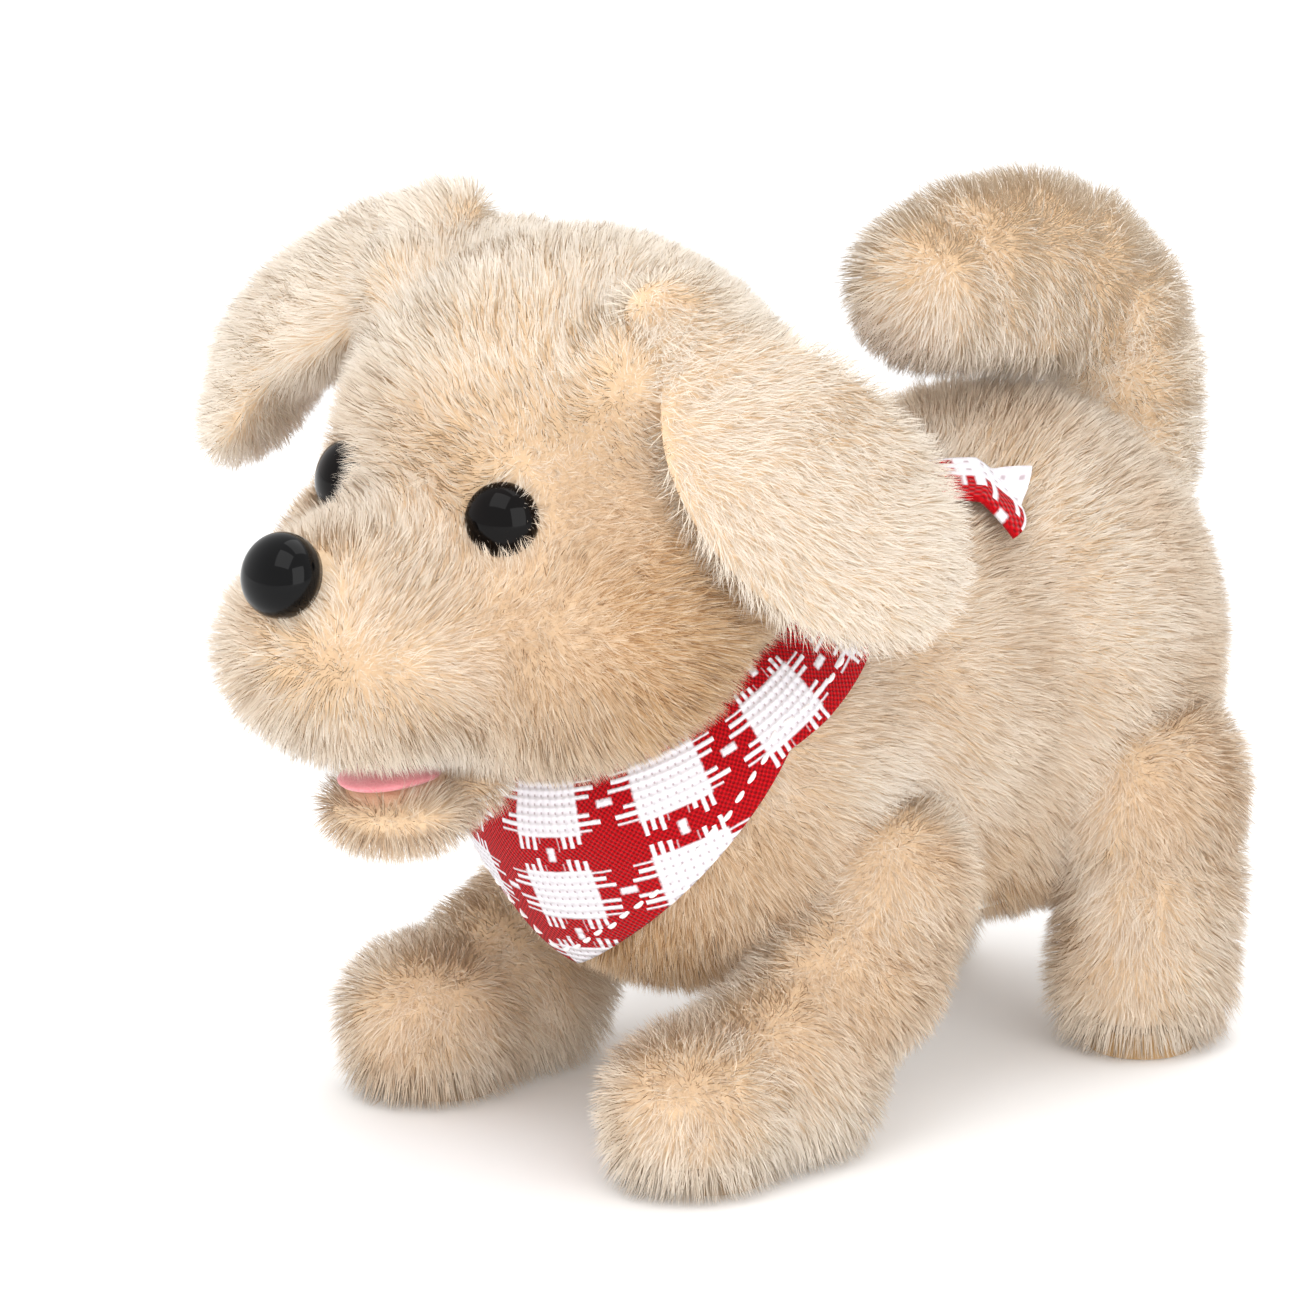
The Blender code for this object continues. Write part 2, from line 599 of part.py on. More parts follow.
def tie_end(side, word):
    """One end of the bandana, from the knot down over the back."""
    start, end, wide = (Vector((side * x, y, z)) for x, y, z in (TIE_START, TIE_END, TIE_WIDE))

    def place(row, column):
        share = row / TIE_ROWS
        spot = start.lerp(end, share) + wide * (column / TIE_COLUMNS - 0.5) * (1.0 + 1.2 * share)
        return on_body((spot - Vector(CHEST[0])).normalized(), TIE_LIFT)

    return grid_sheet(f"tie_end_{word}", TIE_ROWS + 1, TIE_COLUMNS + 1, place, None)


def build_bandana(head_space, jaw_space):
    cotton = ("checked_cotton", (0.62, 0.04, 0.05), 0.9, 0.0)

    def on_neck(row, column):
        turn = -180.0 + 360.0 * column / SCARF_COLUMNS
        polar = SCARF_INNER + (scarf_edge(turn) - SCARF_INNER) * row / SCARF_ROWS
        return on_body(round_neck(polar, turn), SCARF_LIFT)

    scarf = grid_sheet("bandana", SCARF_ROWS + 1, SCARF_COLUMNS, on_neck, cotton, closed=True)
    cut_all(scarf, [head_space, jaw_space])
    combine(scarf, soft_solid("knot_space", KNOT_FORM, 2 * GAP, None))
    knot = soft_solid("bandana_knot", KNOT_FORM, 0.0, None, cotton)
    for side, word in SIDES:
        combine(knot, tie_end(side, word), "UNION")
    combine(knot, head_space)


# ---- chassis and works ------------------------------------------------------------------------
def build_chassis():
    low, high = CHASSIS_LOW, CHASSIS_HIGH
    screws = [(56.0, 85.0), (142.0, 80.0), (126.0, 66.2)]
    holes = [(*FRONT_HIP, AXLE_RADIUS), (*REAR_HIP, AXLE_RADIUS), (*CRANK_AXIS, AXLE_RADIUS)]
    for side, word in SIDES:
        start, end = sorted((side * 0.15, side * high[0]))
        shell = open_box(f"chassis_{word}", (start, *low[1:]), (end, *high[1:]), -side, CHASSIS_WALL,
                         WHITE_PLASTIC)
        for index, (y, z) in enumerate(screws):
            combine(shell, across(f"boss_{word}_{index}", y, z, side * 0.15, side * 19.0, 2.8), "UNION")
            combine(shell, across(f"screw_hole_{word}_{index}", y, z, -30.0, 30.0, 1.5))
        for index, (y, z, radius) in enumerate(holes):
            combine(shell, across(f"axle_hole_{word}_{index}", y, z, -30.0, 30.0, radius + GAP))
    for index, (y, z) in enumerate(screws):
        screw = across(f"chassis_screw_{index + 1}", y, z, -20.3, 17.0, 1.1, STEEL, 12)
        combine(screw, across(f"screw_head_{index}", y, z, -21.9, -20.2, 2.4), "UNION")


def build_power():
    low, high = BATTERY_BOX_LOW, BATTERY_BOX_HIGH
    open_box("battery_box", low, high, -1, 1.5, WHITE_PLASTIC, axis=2)
    door = box("battery_door", (low[0] + 0.5, low[1] + 0.5, low[2] - 2.3),
               (high[0] - 0.5, high[1] - 0.5, low[2] - GAP), WHITE_PLASTIC, 0.8)
    y = high[1] - 5.5
    combine(door, rod("door_hole", (0, y, low[2] - 5), (0, y, low[2] + 5), 1.5))
    rod("battery_door_screw", (0, y, low[2] - 2.2), (0, y, low[2] + 3.0), 1.1, STEEL, 12)
    for side, word in SIDES:
        x, z = side * 7.6, 43.0
        cell = rod(f"battery_{word}", (x, 68.4, z), (x, 68.4 + CELL_LENGTH, z), CELL_RADIUS,
                   GREY_PLASTIC, 24)
        tip = 68.4 + (CELL_LENGTH if side > 0 else 0.0)
        combine(cell, rod(f"cell_tip_{word}", (x, tip - 0.8, z), (x, tip + 0.8, z), 2.7), "UNION")
    box("battery_contact", (-13.0, 119.0, 38.0), (13.0, 119.8, 48.0), STEEL)
    open_box("switch_body", (-5.0, 55.0, 37.0), (5.0, 64.0, 51.6), -1, 1.0, GREY_PLASTIC, axis=2)
    knob = box("power_switch", (-1.8, 56.4, 33.2), (1.8, 59.6, 42.0), GREY_PLASTIC, 0.4)
    set_pivot(knob, (0.0, 58.0, 38.0))


def build_works():
    first = (MOTOR_AXIS[0] + GEAR_DISTANCE, MOTOR_AXIS[1])
    second = gear_centre(first, CRANK_AXIS, GEAR_DISTANCE)
    motor = across("motor", *MOTOR_AXIS, -17.4, 5.0, 9.8, STEEL, 32)
    flats = box("motor_flats", (-18.0, 60.0, MOTOR_AXIS[1] - 7.6), (6.0, 90.0, MOTOR_AXIS[1] + 7.6))
    combine(motor, flats, "INTERSECT")
    combine(motor, across("motor_shaft", *MOTOR_AXIS, 4.0, 16.6, PIN_RADIUS), "UNION")
    wheel_1, pinion_0 = phases(first, MOTOR_AXIS)
    wheel_2, pinion_1 = phases(second, first)
    wheel_3, pinion_2 = phases(CRANK_AXIS, second)
    brass = ("brass", (0.75, 0.58, 0.28), 0.35, 1.0)
    works = [
        (gear("motor_pinion", MOTOR_AXIS, [(PINION_TEETH, pinion_0, 13.0, 16.0)], brass), MOTOR_AXIS),
        (gear("gear_1", first, [(WHEEL_TEETH, wheel_1, 13.0, 16.0),
                                (PINION_TEETH, pinion_1, 9.0, 13.1)], WHITE_PLASTIC), first),
        (gear("gear_2", second, [(WHEEL_TEETH, wheel_2, 9.0, 12.0),
                                 (PINION_TEETH, pinion_2, 5.0, 9.1)], WHITE_PLASTIC), second)]
    across("gear_pin_1", *first, 2.0, 17.9, PIN_RADIUS, STEEL, 12)
    across("gear_pin_2", *second, 2.0, 17.9, PIN_RADIUS, STEEL, 12)
    crank_gear = gear("crank_gear", CRANK_AXIS, [(WHEEL_TEETH, wheel_3, 5.0, 8.0)], WHITE_PLASTIC)
    bore = across("crank_gear_bore", *CRANK_AXIS, 0.0, 12.0, AXLE_RADIUS + GAP)
    combine(crank_gear, bore)
    works.append((crank_gear, CRANK_AXIS))
    works.append((across("crank_shaft", *CRANK_AXIS, -23.0, 23.0, AXLE_RADIUS, STEEL, 16), CRANK_AXIS))
    for side, word in SIDES:
        y, z = CRANK_AXIS
        crank = across(f"crank_{word}", y, z, side * 20.6, side * 22.8, 7.4, WHITE_PLASTIC, 28)
        combine(crank, across(f"crank_bore_{word}", y, z, -30.0, 30.0, AXLE_RADIUS + GAP))
        pin = across(f"crank_pin_{word}", y, z + side * CRANK_THROW, side * 21.5, side * 25.6, 1.2)
        combine(crank, pin, "UNION")
        works.append((crank, CRANK_AXIS))
    for obj, axis in works:
        set_pivot(obj, (0.0, *axis))
    board = ("green_board", (0.05, 0.30, 0.14), 0.5, 0.0)
    box("circuit_board", (-14.0, 106.0, 84.0), (14.0, 137.0, 85.6), board)
    speaker = rod("speaker", (0, 124.0, 70.0), (0, 124.0, 75.0), 12.5, GREY_PLASTIC, 28)
    combine(speaker, rod("speaker_magnet", (0, 124.0, 74.0), (0, 124.0, 81.0), 7.0), "UNION")


def build_head_frame():
    low, high = HEAD_FRAME_LOW, HEAD_FRAME_HIGH
    frame = open_box("head_frame", low, high, 1, CHASSIS_WALL, WHITE_PLASTIC, axis=1)
    y, z = JAW_PIVOT[1:]
    for side, word in SIDES:
        start, end = sorted((side * 9.2, side * 12.2))
        combine(frame, box(f"jaw_lug_{word}", (start, y - 4, z - 4), (end, y + 4, low[2] + 1)), "UNION")
    combine(frame, across("jaw_pin_hole", y, z, -20.0, 20.0, PIN_RADIUS + GAP))
    tube("neck_post", NECK_LINE[1:-1], 5.0, WHITE_PLASTIC, 4)


clear_scene()
parts = bpy.data.collections.new("plush_puppy")
cutters = bpy.data.collections.new("cutters")
for collection in (parts, cutters):
    bpy.context.scene.collection.children.link(collection)
body_origin = bpy.data.objects.new("body_origin", None)
body_origin.location = -point((*BOX_CENTRE, FLOOR))
parts.objects.link(body_origin)

body_plush, space_of_head, space_of_jaw = build_body()
build_head(space_of_head, space_of_jaw)
build_bandana(space_of_head, space_of_jaw)
build_buttons()
build_tail()
build_jaw()
build_legs()
build_head_frame()
build_chassis()
build_power()
build_works()
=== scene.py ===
"""Looks of the walking plush puppy: its pile, bandana, eyes, nose and tongue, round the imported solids.

The puppy faces -Y and its left side is +X. The forms of the soft parts are in millimetres in the
puppy's own frame: X = 0 is its middle plane, and the front hip axle lies at Y = 62, Z = 57.
"""

import json
import math

import bmesh
import bpy
import numpy as np
from mathutils import Matrix, Vector
from mathutils.kdtree import KDTree


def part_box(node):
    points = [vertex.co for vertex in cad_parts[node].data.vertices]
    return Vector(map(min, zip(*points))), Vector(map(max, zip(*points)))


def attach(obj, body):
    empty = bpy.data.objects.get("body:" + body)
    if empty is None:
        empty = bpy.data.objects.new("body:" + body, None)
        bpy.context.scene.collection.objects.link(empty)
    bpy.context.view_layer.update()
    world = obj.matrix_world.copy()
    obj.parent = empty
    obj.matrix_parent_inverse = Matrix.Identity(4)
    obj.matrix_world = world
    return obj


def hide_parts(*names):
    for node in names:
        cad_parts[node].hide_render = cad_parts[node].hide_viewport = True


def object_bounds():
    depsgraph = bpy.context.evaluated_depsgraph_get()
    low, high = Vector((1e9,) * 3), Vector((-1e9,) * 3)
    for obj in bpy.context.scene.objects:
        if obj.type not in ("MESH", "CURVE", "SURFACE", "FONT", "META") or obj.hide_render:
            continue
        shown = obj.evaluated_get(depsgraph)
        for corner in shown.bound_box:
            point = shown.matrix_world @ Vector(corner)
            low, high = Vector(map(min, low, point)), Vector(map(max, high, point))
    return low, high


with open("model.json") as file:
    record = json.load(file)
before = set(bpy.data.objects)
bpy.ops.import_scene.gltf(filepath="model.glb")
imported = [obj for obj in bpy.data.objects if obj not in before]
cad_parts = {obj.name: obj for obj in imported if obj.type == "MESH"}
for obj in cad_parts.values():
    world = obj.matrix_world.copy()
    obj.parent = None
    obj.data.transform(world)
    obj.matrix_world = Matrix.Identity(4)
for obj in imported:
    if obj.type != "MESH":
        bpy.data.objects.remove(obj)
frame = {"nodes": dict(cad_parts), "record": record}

CAD_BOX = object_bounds()
MM = 0.001
FRONT_HIP = (62, 57)
axle_low, axle_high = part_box("hip_axle_front")
ORIGIN = (axle_low + axle_high) / 2 - Vector((0, *FRONT_HIP)) * MM
FLOOR = (CAD_BOX[0].z - ORIGIN.z) / MM

# ---- soft forms: overlapping ellipsoids out to the tips of the pile
CHEST = ((0, 48, 78), (49, 49, 50))
BACK = ((0, 88, 84), (50, 49, 54))
RUMP = ((0, 130, 83.5), (50, 52, 57.5))
BODY_FORM = [CHEST, BACK, RUMP]
HEAD_FORM = [
    ((0, 16, 139), (51, 50, 51)),
    ((0, -2, 117), (54, 44, 35)),
    ((0, -39, 114), (33, 29, 24)),
    ((0, -39, 128), (20, 22, 14)),
]
EAR_ROOTS = [((32, 8, 165), (19, 25, 20)), ((-36, 14, 171), (20, 24, 17)),
             ((-34, 28, 174), (16, 18, 12))]
JAW_FORM = [
    ((0, -32, 81), (16.5, 16, 9.5)),
    ((0, -16, 85), (13, 12, 9.5)),
]
FRONT_LEG_FORM = [
    ((40, 62, 56), (19.5, 21, 21)),
    ((40, 52, 39), (19.5, 24, 21)),
    ((39.5, 35, 26), (19.5, 25, 20.5)),
    ((39, 12, 22.5), (20, 24, 17.5)),
]
REAR_LEG_FORM = [
    ((37, 139, 58), (22, 26, 26)),
    ((37, 141, 38), (21, 23, 21)),
    ((37, 140, 22.5), (20.5, 23.5, 17.5)),
]
TAIL_LINE = [(167, 110), (169.5, 122), (170, 136), (164.5, 151), (153, 161),
             (139, 166), (124, 166), (112, 162)]
TAIL_CURL = ((0, 128, 156), (17, 32, 15))
TAIL_REST = ((0, 143, 149.5), (15, 22, 12))
TAIL_FORM = [((0, y, z), (19, 19, 19)) for y, z in TAIL_LINE] + [TAIL_CURL, TAIL_REST]
EAR_FORMS = {
    "left": [((55, 25, 144), (12, 28.5, 44), (20, 51, -51), (1, 0, 0)),
             ((38, 10, 171), (12, 16.5, 22), (22, 51, -51), (1, 0, 0))],
    "right": [((-64, 10, 165), (14, 26, 40), (-65, -7, -36), (0, -0.5, 0.86)),
              ((-42, 14, 178), (12, 20, 18), (-65, -7, -30), (0, -0.5, 0.86)),
              ((-81, 5, 146), (12, 23, 22), (-40, -5, -50), (-0.6, -0.5, 0.5))],
}
SIDES = ((1, "left"), (-1, "right"))

# ---- pivots and swings of the bodies that carry soft parts, in millimetres and degrees
REAR_HIP = (138, 57)
LEG_SWING = (-8, 0, 8)
TAIL_PIVOT = (0, 168, 110)
TAIL_SWING = (-20, 0, 20)
TAIL_ROOT = TAIL_FORM[:4]
JAW_PIVOT = (0, -9, 91)
JAW_SWING = (-4, 0, 10)

# ---- pile
DEPTH = 5.4                # from the tips of the pile in to the skin, in millimetres
STRANDS = 3.7              # for each square millimetre of skin
MOST_STRANDS = 62000       # in one piece
STRAND_STEPS = (0, 0.6, 1)  # along its length: one quad, then a tip
STRAND_LENGTH = 6.6
STRAND_HALF_WIDTH = 0.08
SHORTEST = 0.12            # share of the full length below which there is no strand
TUFT_AREA = 5              # square millimetres of skin for each tuft
FLOOR_CLEAR = 0.3
SOLE_PILE = 10             # height over the floor under which strands hang down
SOLE_TOP = 5.1             # heights over the floor: the underside of a paw, and where its bend starts
PAW_BEND = 18

# ---- eyes, nose and tongue: (centre, outward direction)
EYES = (((24.5, -27, 141.5), (0.5, -0.83, 0.2)), ((-24.5, -27, 141.5), (-0.5, -0.83, 0.2)))
EYE_RADIUS = 7.2
EYE_SINK = 2.5             # into the pile
NOSE = ((0, -60, 132), (0, -0.93, 0.36))
NOSE_RADIUS = 8.6
TONGUE_CENTRE = (0, -33, 88)
TONGUE_RADII = (8.4, 11, 1.9)
TONGUE_BED = [((0, -33, 88.2), (9.5, 12, 3))]
TONGUE_ROOM = [((0, -33, 89), (8, 10, 2.5))]

# ---- bandana: turns round the neck from the front and polar angles from its axis, in degrees
SCARF_LIFT = -1            # over the tips of the pile
SCARF_END = 176
SCARF_INNER = 46
SCARF_INNER_MOST = 66
SCARF_ROWS, SCARF_COLUMNS = 48, 352
CLOTH_THICKNESS = 1.1
CHECK_START = (10, 65)
CHECK_PITCH = (35.5, 22)
CHECK_SLANT = 0.085
KNOT_CENTRE = (0, 72.5, 137.2)
KNOT_RADII = (9, 7, 5)
TIE_START = (4, 75, 136.5)
TIE_END = (33, 104.5, 123.5)
TIE_WIDE = (4.4, -6.5, -4.1)


def place(points):
    """Points of the puppy's frame, in millimetres, as metres in the shared frame."""
    return np.asarray(points, float) * MM + np.array(ORIGIN)


def srgb(red, green, blue):
    """A colour given as 0 to 255 screen values, as linear numbers."""
    return tuple(((value / 255 + 0.055) / 1.055) ** 2.4 for value in (red, green, blue))


def unit(vectors):
    return vectors / np.maximum(np.linalg.norm(vectors, axis=-1, keepdims=True), 1e-9)


# ---- forms
def axes_of(piece):
    """Rotation of an ellipsoid (centre, radii[, long axis, normal])."""
    if len(piece) == 2:
        return Matrix.Identity(3)
    along, normal = Vector(piece[2]).normalized(), Vector(piece[3])
    normal = (normal - normal.dot(along) * along).normalized()
    return Matrix((normal, along.cross(normal), along)).transposed()


def height(points, form, grow=0):
    """About how far each point lies outside a form grown by so much, in millimetres."""
    best = np.full(len(points), 1e9)
    for piece in form:
        radii = np.array(piece[1]) + grow
        local = (points - np.array(piece[0])) @ np.array(axes_of(piece))
        scaled = local / radii
        length = np.linalg.norm(scaled, axis=1)
        slope = np.linalg.norm(scaled / radii, axis=1) / np.maximum(length, 1e-6)
        best = np.minimum(best, (length - 1) / np.maximum(slope, 1e-6))
    return best


def mirrored(form, side):
    return [((side * piece[0][0], *piece[0][1:]), *piece[1:]) for piece in form]


def swung(form, degrees, pivot, axis):
    turn = Matrix.Translation(pivot) @ Matrix.Rotation(math.radians(degrees), 4, axis)
    turn = turn @ Matrix.Translation(-Vector(pivot))
    return [(tuple(turn @ Vector(piece[0])), *piece[1:]) for piece in form]


def sweep(form, angles, pivot, axis):
    """A form at every one of the angles that it turns through."""
    return [piece for angle in angles for piece in swung(form, angle, pivot, axis)]


def linked(name, data):
    """A new object of the scene that holds this data."""
    obj = bpy.data.objects.new(name, data)
    bpy.context.scene.collection.objects.link(obj)
    return obj


def object_of(name, bm):
    """A new object with the mesh that bm holds."""
    mesh = bpy.data.meshes.new(name)
    bm.to_mesh(mesh)
    bm.free()
    return linked(name, mesh)


def vectors(mesh, key):
    """The positions or the normals of a mesh's vertices, as rows."""
    values = np.empty(len(mesh.vertices) * 3, np.float32)
    mesh.vertices.foreach_get(key, values)
    return values.reshape(-1, 3)


def applied(obj):
    """Makes the modifiers part of the mesh."""
    graph = bpy.context.evaluated_depsgraph_get()
    mesh = bpy.data.meshes.new_from_object(obj.evaluated_get(graph))
    obj.modifiers.clear()
    obj.data = mesh
    return obj


def skin(name, form, depth=DEPTH, grain=3, smoothing=12):
    """One smooth closed surface, so deep inside the joined ellipsoids of a form."""
    bm = bmesh.new()
    for piece in form:
        size = Matrix.Diagonal([radius * MM for radius in piece[1]])
        matrix = Matrix.Translation(Vector(place(piece[0]))) @ (axes_of(piece) @ size).to_4x4()
        bmesh.ops.create_uvsphere(bm, u_segments=36, v_segments=24, radius=1, matrix=matrix)
    obj = object_of(name, bm)
    one = obj.modifiers.new("one_skin", "REMESH")
    one.mode = "VOXEL"
    one.voxel_size = grain * MM
    even = obj.modifiers.new("even", "SMOOTH")
    even.factor = 0.5
    even.iterations = smoothing
    applied(obj)
    points, normals = vectors(obj.data, "co"), vectors(obj.data, "normal")
    lost = -np.median(height((points - np.array(ORIGIN)) / MM, form))
    obj.data.vertices.foreach_set("co", (points + normals * (lost - depth) * MM).ravel())
    obj.data.update()
    obj.data.shade_smooth()
    return obj


def space(name, form):
    """A skin to cut out of a neighbour, with a millimetre of room round the form's own skin."""
    return skin("space_" + name, form, DEPTH - 1, 4)


def cut_away(obj, others):
    """Cuts other closed meshes out of this one, and removes them."""
    for other in others:
        cut = obj.modifiers.new("cut", "BOOLEAN")
        cut.operation = "DIFFERENCE"
        cut.solver = "MANIFOLD"
        cut.object = other
        applied(obj)
        bpy.data.objects.remove(other)
    obj.data.shade_smooth()


# ---- growing the pile
def waves(points, size, seed):
    """Smooth random vectors that change over about so many millimetres."""
    source = np.random.default_rng(seed)
    total = np.zeros_like(points)
    for _ in range(9):
        direction = unit(source.normal(size=3)) * source.uniform(0.6, 1.4) * 2 * math.pi / size
        phase = source.uniform(0, 2 * math.pi)
        total += np.sin(points @ direction + phase)[:, None] * source.normal(size=3)
    return total / 3


def sample(obj, seed):
    """The roots of the strands, spread over a mesh, in the puppy's frame, with their normals."""
    mesh = obj.data
    mesh.calc_loop_triangles()
    corners = np.empty(len(mesh.loop_triangles) * 3, np.int32)
    mesh.loop_triangles.foreach_get("vertices", corners)
    corners = corners.reshape(-1, 3)
    points = (vectors(mesh, "co").astype(float) - np.array(ORIGIN)) / MM
    normals = vectors(mesh, "normal").astype(float)
    a, b, c = (points[corners[:, k]] for k in range(3))
    areas = np.linalg.norm(np.cross(b - a, c - a), axis=1) / 2
    source = np.random.default_rng(seed)
    count = int(areas.sum() * STRANDS)
    spread = (np.arange(count) + source.random(count)) / count * areas.sum()
    picked = np.searchsorted(np.cumsum(areas), spread).clip(0, len(areas) - 1)
    first, second = source.random(count), source.random(count)
    flip = first + second > 1
    first[flip], second[flip] = 1 - first[flip], 1 - second[flip]
    shares = np.stack([1 - first - second, first, second], 1)[:, :, None]
    roots = (points[corners[picked]] * shares).sum(1)
    return roots, unit((normals[corners[picked]] * shares).sum(1))


def tufts(roots, tips, seed):
    """For each strand, the tip of the tuft that it leans into."""
    count = max(1, int(len(roots) / STRANDS / TUFT_AREA))
    chosen = np.random.default_rng(seed).permutation(len(roots))[:count]
    tree = KDTree(count)
    for index, strand in enumerate(chosen):
        tree.insert(roots[strand], index)
    tree.balance()
    nearest = np.array([tree.find(root)[1] for root in roots])
    return tips[chosen][nearest]


def strand_mesh(name, lines, sides, normals, tone, light):
    """Ribbons along lines (strand, step, xyz), as far to each side as sides, narrowing to a point."""
    rows = []
    along = []
    for step, share in enumerate(STRAND_STEPS[:-1]):
        width = sides * (1 - 0.55 * share)
        rows += [lines[:, step] - width, lines[:, step] + width]
        along += [share, share]
    rows.append(lines[:, -1])
    along.append(1)
    points = place(np.stack(rows, 1).reshape(-1, 3))
    count, each = len(lines), len(rows)
    base = np.arange(count)[:, None] * each
    quads = base + np.array((0, 1, 3, 2))
    ends = base + np.array((2, 3, 4))
    mesh = bpy.data.meshes.new(name)
    mesh.vertices.add(count * each)
    mesh.vertices.foreach_set("co", points.astype(np.float32).ravel())
    corners = np.concatenate([quads.ravel(), ends.ravel()]).astype(np.int32)
    mesh.loops.add(len(corners))
    mesh.loops.foreach_set("vertex_index", corners)
    starts = np.concatenate([np.arange(len(quads)) * 4, len(quads) * 4 + np.arange(count) * 3])
    mesh.polygons.add(len(starts))
    mesh.polygons.foreach_set("loop_start", starts.astype(np.int32))
    mesh.update(calc_edges=True)
    mesh.shade_smooth()
    for label, values in (("along", np.tile(along, count)), ("tone", np.repeat(tone, each)),
                          ("light", np.repeat(light, each))):
        layer = mesh.attributes.new(label, "FLOAT", "POINT")
        layer.data.foreach_set("value", values.astype(np.float32))
    shading = np.repeat(normals, each, axis=0)
    mesh.normals_split_custom_set_from_vertices(shading)
    return linked(name, mesh)


def clear_of(points, keep_out):
    """Whether each point lies outside every form of keep_out, which holds (form, growth)."""
    clear = np.ones(len(points), bool)
    for form, grow in keep_out:
        clear &= height(points, form, grow) > 0
    return clear


def combed(roots, normals, flow, source, seed):
    """Directions along the skin: the flow, wavering over wide and narrow patches and in each strand."""
    comb = flow(roots) + 0.3 * waves(roots, 26, seed) + 0.25 * waves(roots, 7, seed + 1)
    comb = comb + 0.5 * source.normal(size=roots.shape)
    return unit(comb - normals * (comb * normals).sum(1)[:, None])


def bent(normals, comb, tilt, drop, fall):
    """Directions that lean from the normals towards the comb, and by the share drop towards fall."""
    return unit(unit(normals * np.cos(tilt) + comb * np.sin(tilt)) * (1 - drop) + fall * drop)


def pile(name, base, body, flow, look, keep_out=(), lean=22, length=STRAND_LENGTH, seed=1,
         trim=None):
    """Strands of pile over a skin: combed along flow, drawn into tufts, and kept out of other forms."""
    roots, normals = sample(base, seed)
    keep = clear_of(roots + normals * 3, keep_out)
    share = np.ones(len(roots)) if trim is None else trim(roots)
    keep &= share > SHORTEST
    roots, normals, share = roots[keep], normals[keep], share[keep]
    source = np.random.default_rng(seed + 100)
    comb = combed(roots, normals, flow, source, seed)
    tilt = np.radians(lean * (1 + 0.25 * waves(roots, 15, seed + 2)[:, 0]
                              + 0.22 * source.normal(size=len(roots))))
    tilt = tilt.clip(math.radians(4), math.radians(75))[:, None]
    reach = (length * share * source.uniform(0.72, 1.12, len(roots)))[:, None]
    drop = ((SOLE_PILE - (roots[:, 2] - FLOOR)) / 3).clip(0, 1)[:, None]
    fall = unit(0.5 * unit(normals * (1, 1, 0)) - (0, 0, 1))
    start = bent(normals, comb, tilt * 0.6, drop, fall)
    end = bent(normals, comb, tilt * 1.35, drop, fall)
    tips = roots + reach * (start + end) / 2
    pull = (tufts(roots, tips, seed + 3) - tips) * source.uniform(0.1, 0.5, len(roots))[:, None]
    lines = np.stack([roots + reach * (start * (step - step * step / 2) + end * step * step / 2)
                      + pull * step ** 1.6 for step in STRAND_STEPS], 1)
    keep = clear_of(lines[:, 1:].mean(1), keep_out)
    lines, roots, normals = lines[keep], roots[keep], normals[keep]
    lines[:, :, 2] = np.maximum(lines[:, :, 2], FLOOR + FLOOR_CLEAR)
    run = unit(lines[:, -1] - lines[:, 0])
    facing = normals + 0.4 * source.normal(size=normals.shape)
    across = unit(np.cross(run, facing))
    across *= np.sign((np.cross(across, run) * normals).sum(1))[:, None]
    shading = unit(normals + 0.3 * np.cross(across, run) + 0.25 * run)
    tone = source.normal(0.5, 0.17, len(roots)).clip(0, 1)
    light = look(roots, normals)
    order = np.argsort(roots[:, 1])
    for index, rows in enumerate(np.array_split(order, math.ceil(len(order) / MOST_STRANDS))):
        obj = strand_mesh(f"{name}_{index + 1}", lines[rows], across[rows] * STRAND_HALF_WIDTH,
                          shading[rows], tone[rows], light[rows])
        obj.data.materials.append(PLUSH)
        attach(obj, body)


# ---- materials
def feed(tree, socket, value):
    if isinstance(value, bpy.types.NodeSocket):
        tree.links.new(value, socket)
    elif isinstance(value, tuple) and len(value) == 3 and socket.type == "RGBA":
        socket.default_value = (*value, 1)
    else:
        socket.default_value = value


def node(tree, kind, settings=None, **inputs):
    """A shader node with its settings, and with inputs by name (spaces as underscores)."""
    made = tree.nodes.new("ShaderNode" + kind)
    for key, value in (settings or {}).items():
        setattr(made, key, value)
    for key, value in inputs.items():
        feed(tree, made.inputs[key.replace("_", " ")], value)
    return made


def calc(tree, operation, *values, clamp=False):
    made = node(tree, "Math", {"operation": operation, "use_clamp": clamp})
    for socket, value in zip(made.inputs, values):
        feed(tree, socket, value)
    return made.outputs[0]


def blend_colour(tree, share, first, second):
    made = node(tree, "Mix", {"data_type": "RGBA"})
    feed(tree, made.inputs[0], share)
    feed(tree, made.inputs[6], first)
    feed(tree, made.inputs[7], second)
    return made.outputs[2]


def noise(tree, scale, detail=2, roughness=0.5):
    """Object-space noise; scale is in waves for each metre."""
    where = node(tree, "TexCoord").outputs["Object"]
    made = node(tree, "TexNoise", Scale=scale, Detail=detail, Roughness=roughness, Vector=where)
    return made.outputs["Fac"]


def attribute(tree, name):
    return node(tree, "Attribute", {"attribute_name": name}).outputs["Fac"]


def remap(tree, value, low, high, to_low=0, to_high=1):
    made = node(tree, "MapRange", {"clamp": True}, Value=value)
    for index, number in enumerate((low, high, to_low, to_high)):
        made.inputs[index + 1].default_value = number
    return made.outputs[0]


def bump(tree, shader, relief, strength, distance):
    made = node(tree, "Bump", Strength=strength, Distance=distance, Height=relief)
    tree.links.new(made.outputs[0], shader.inputs["Normal"])


def product(tree, first, second):
    return calc(tree, "MULTIPLY", first, second)


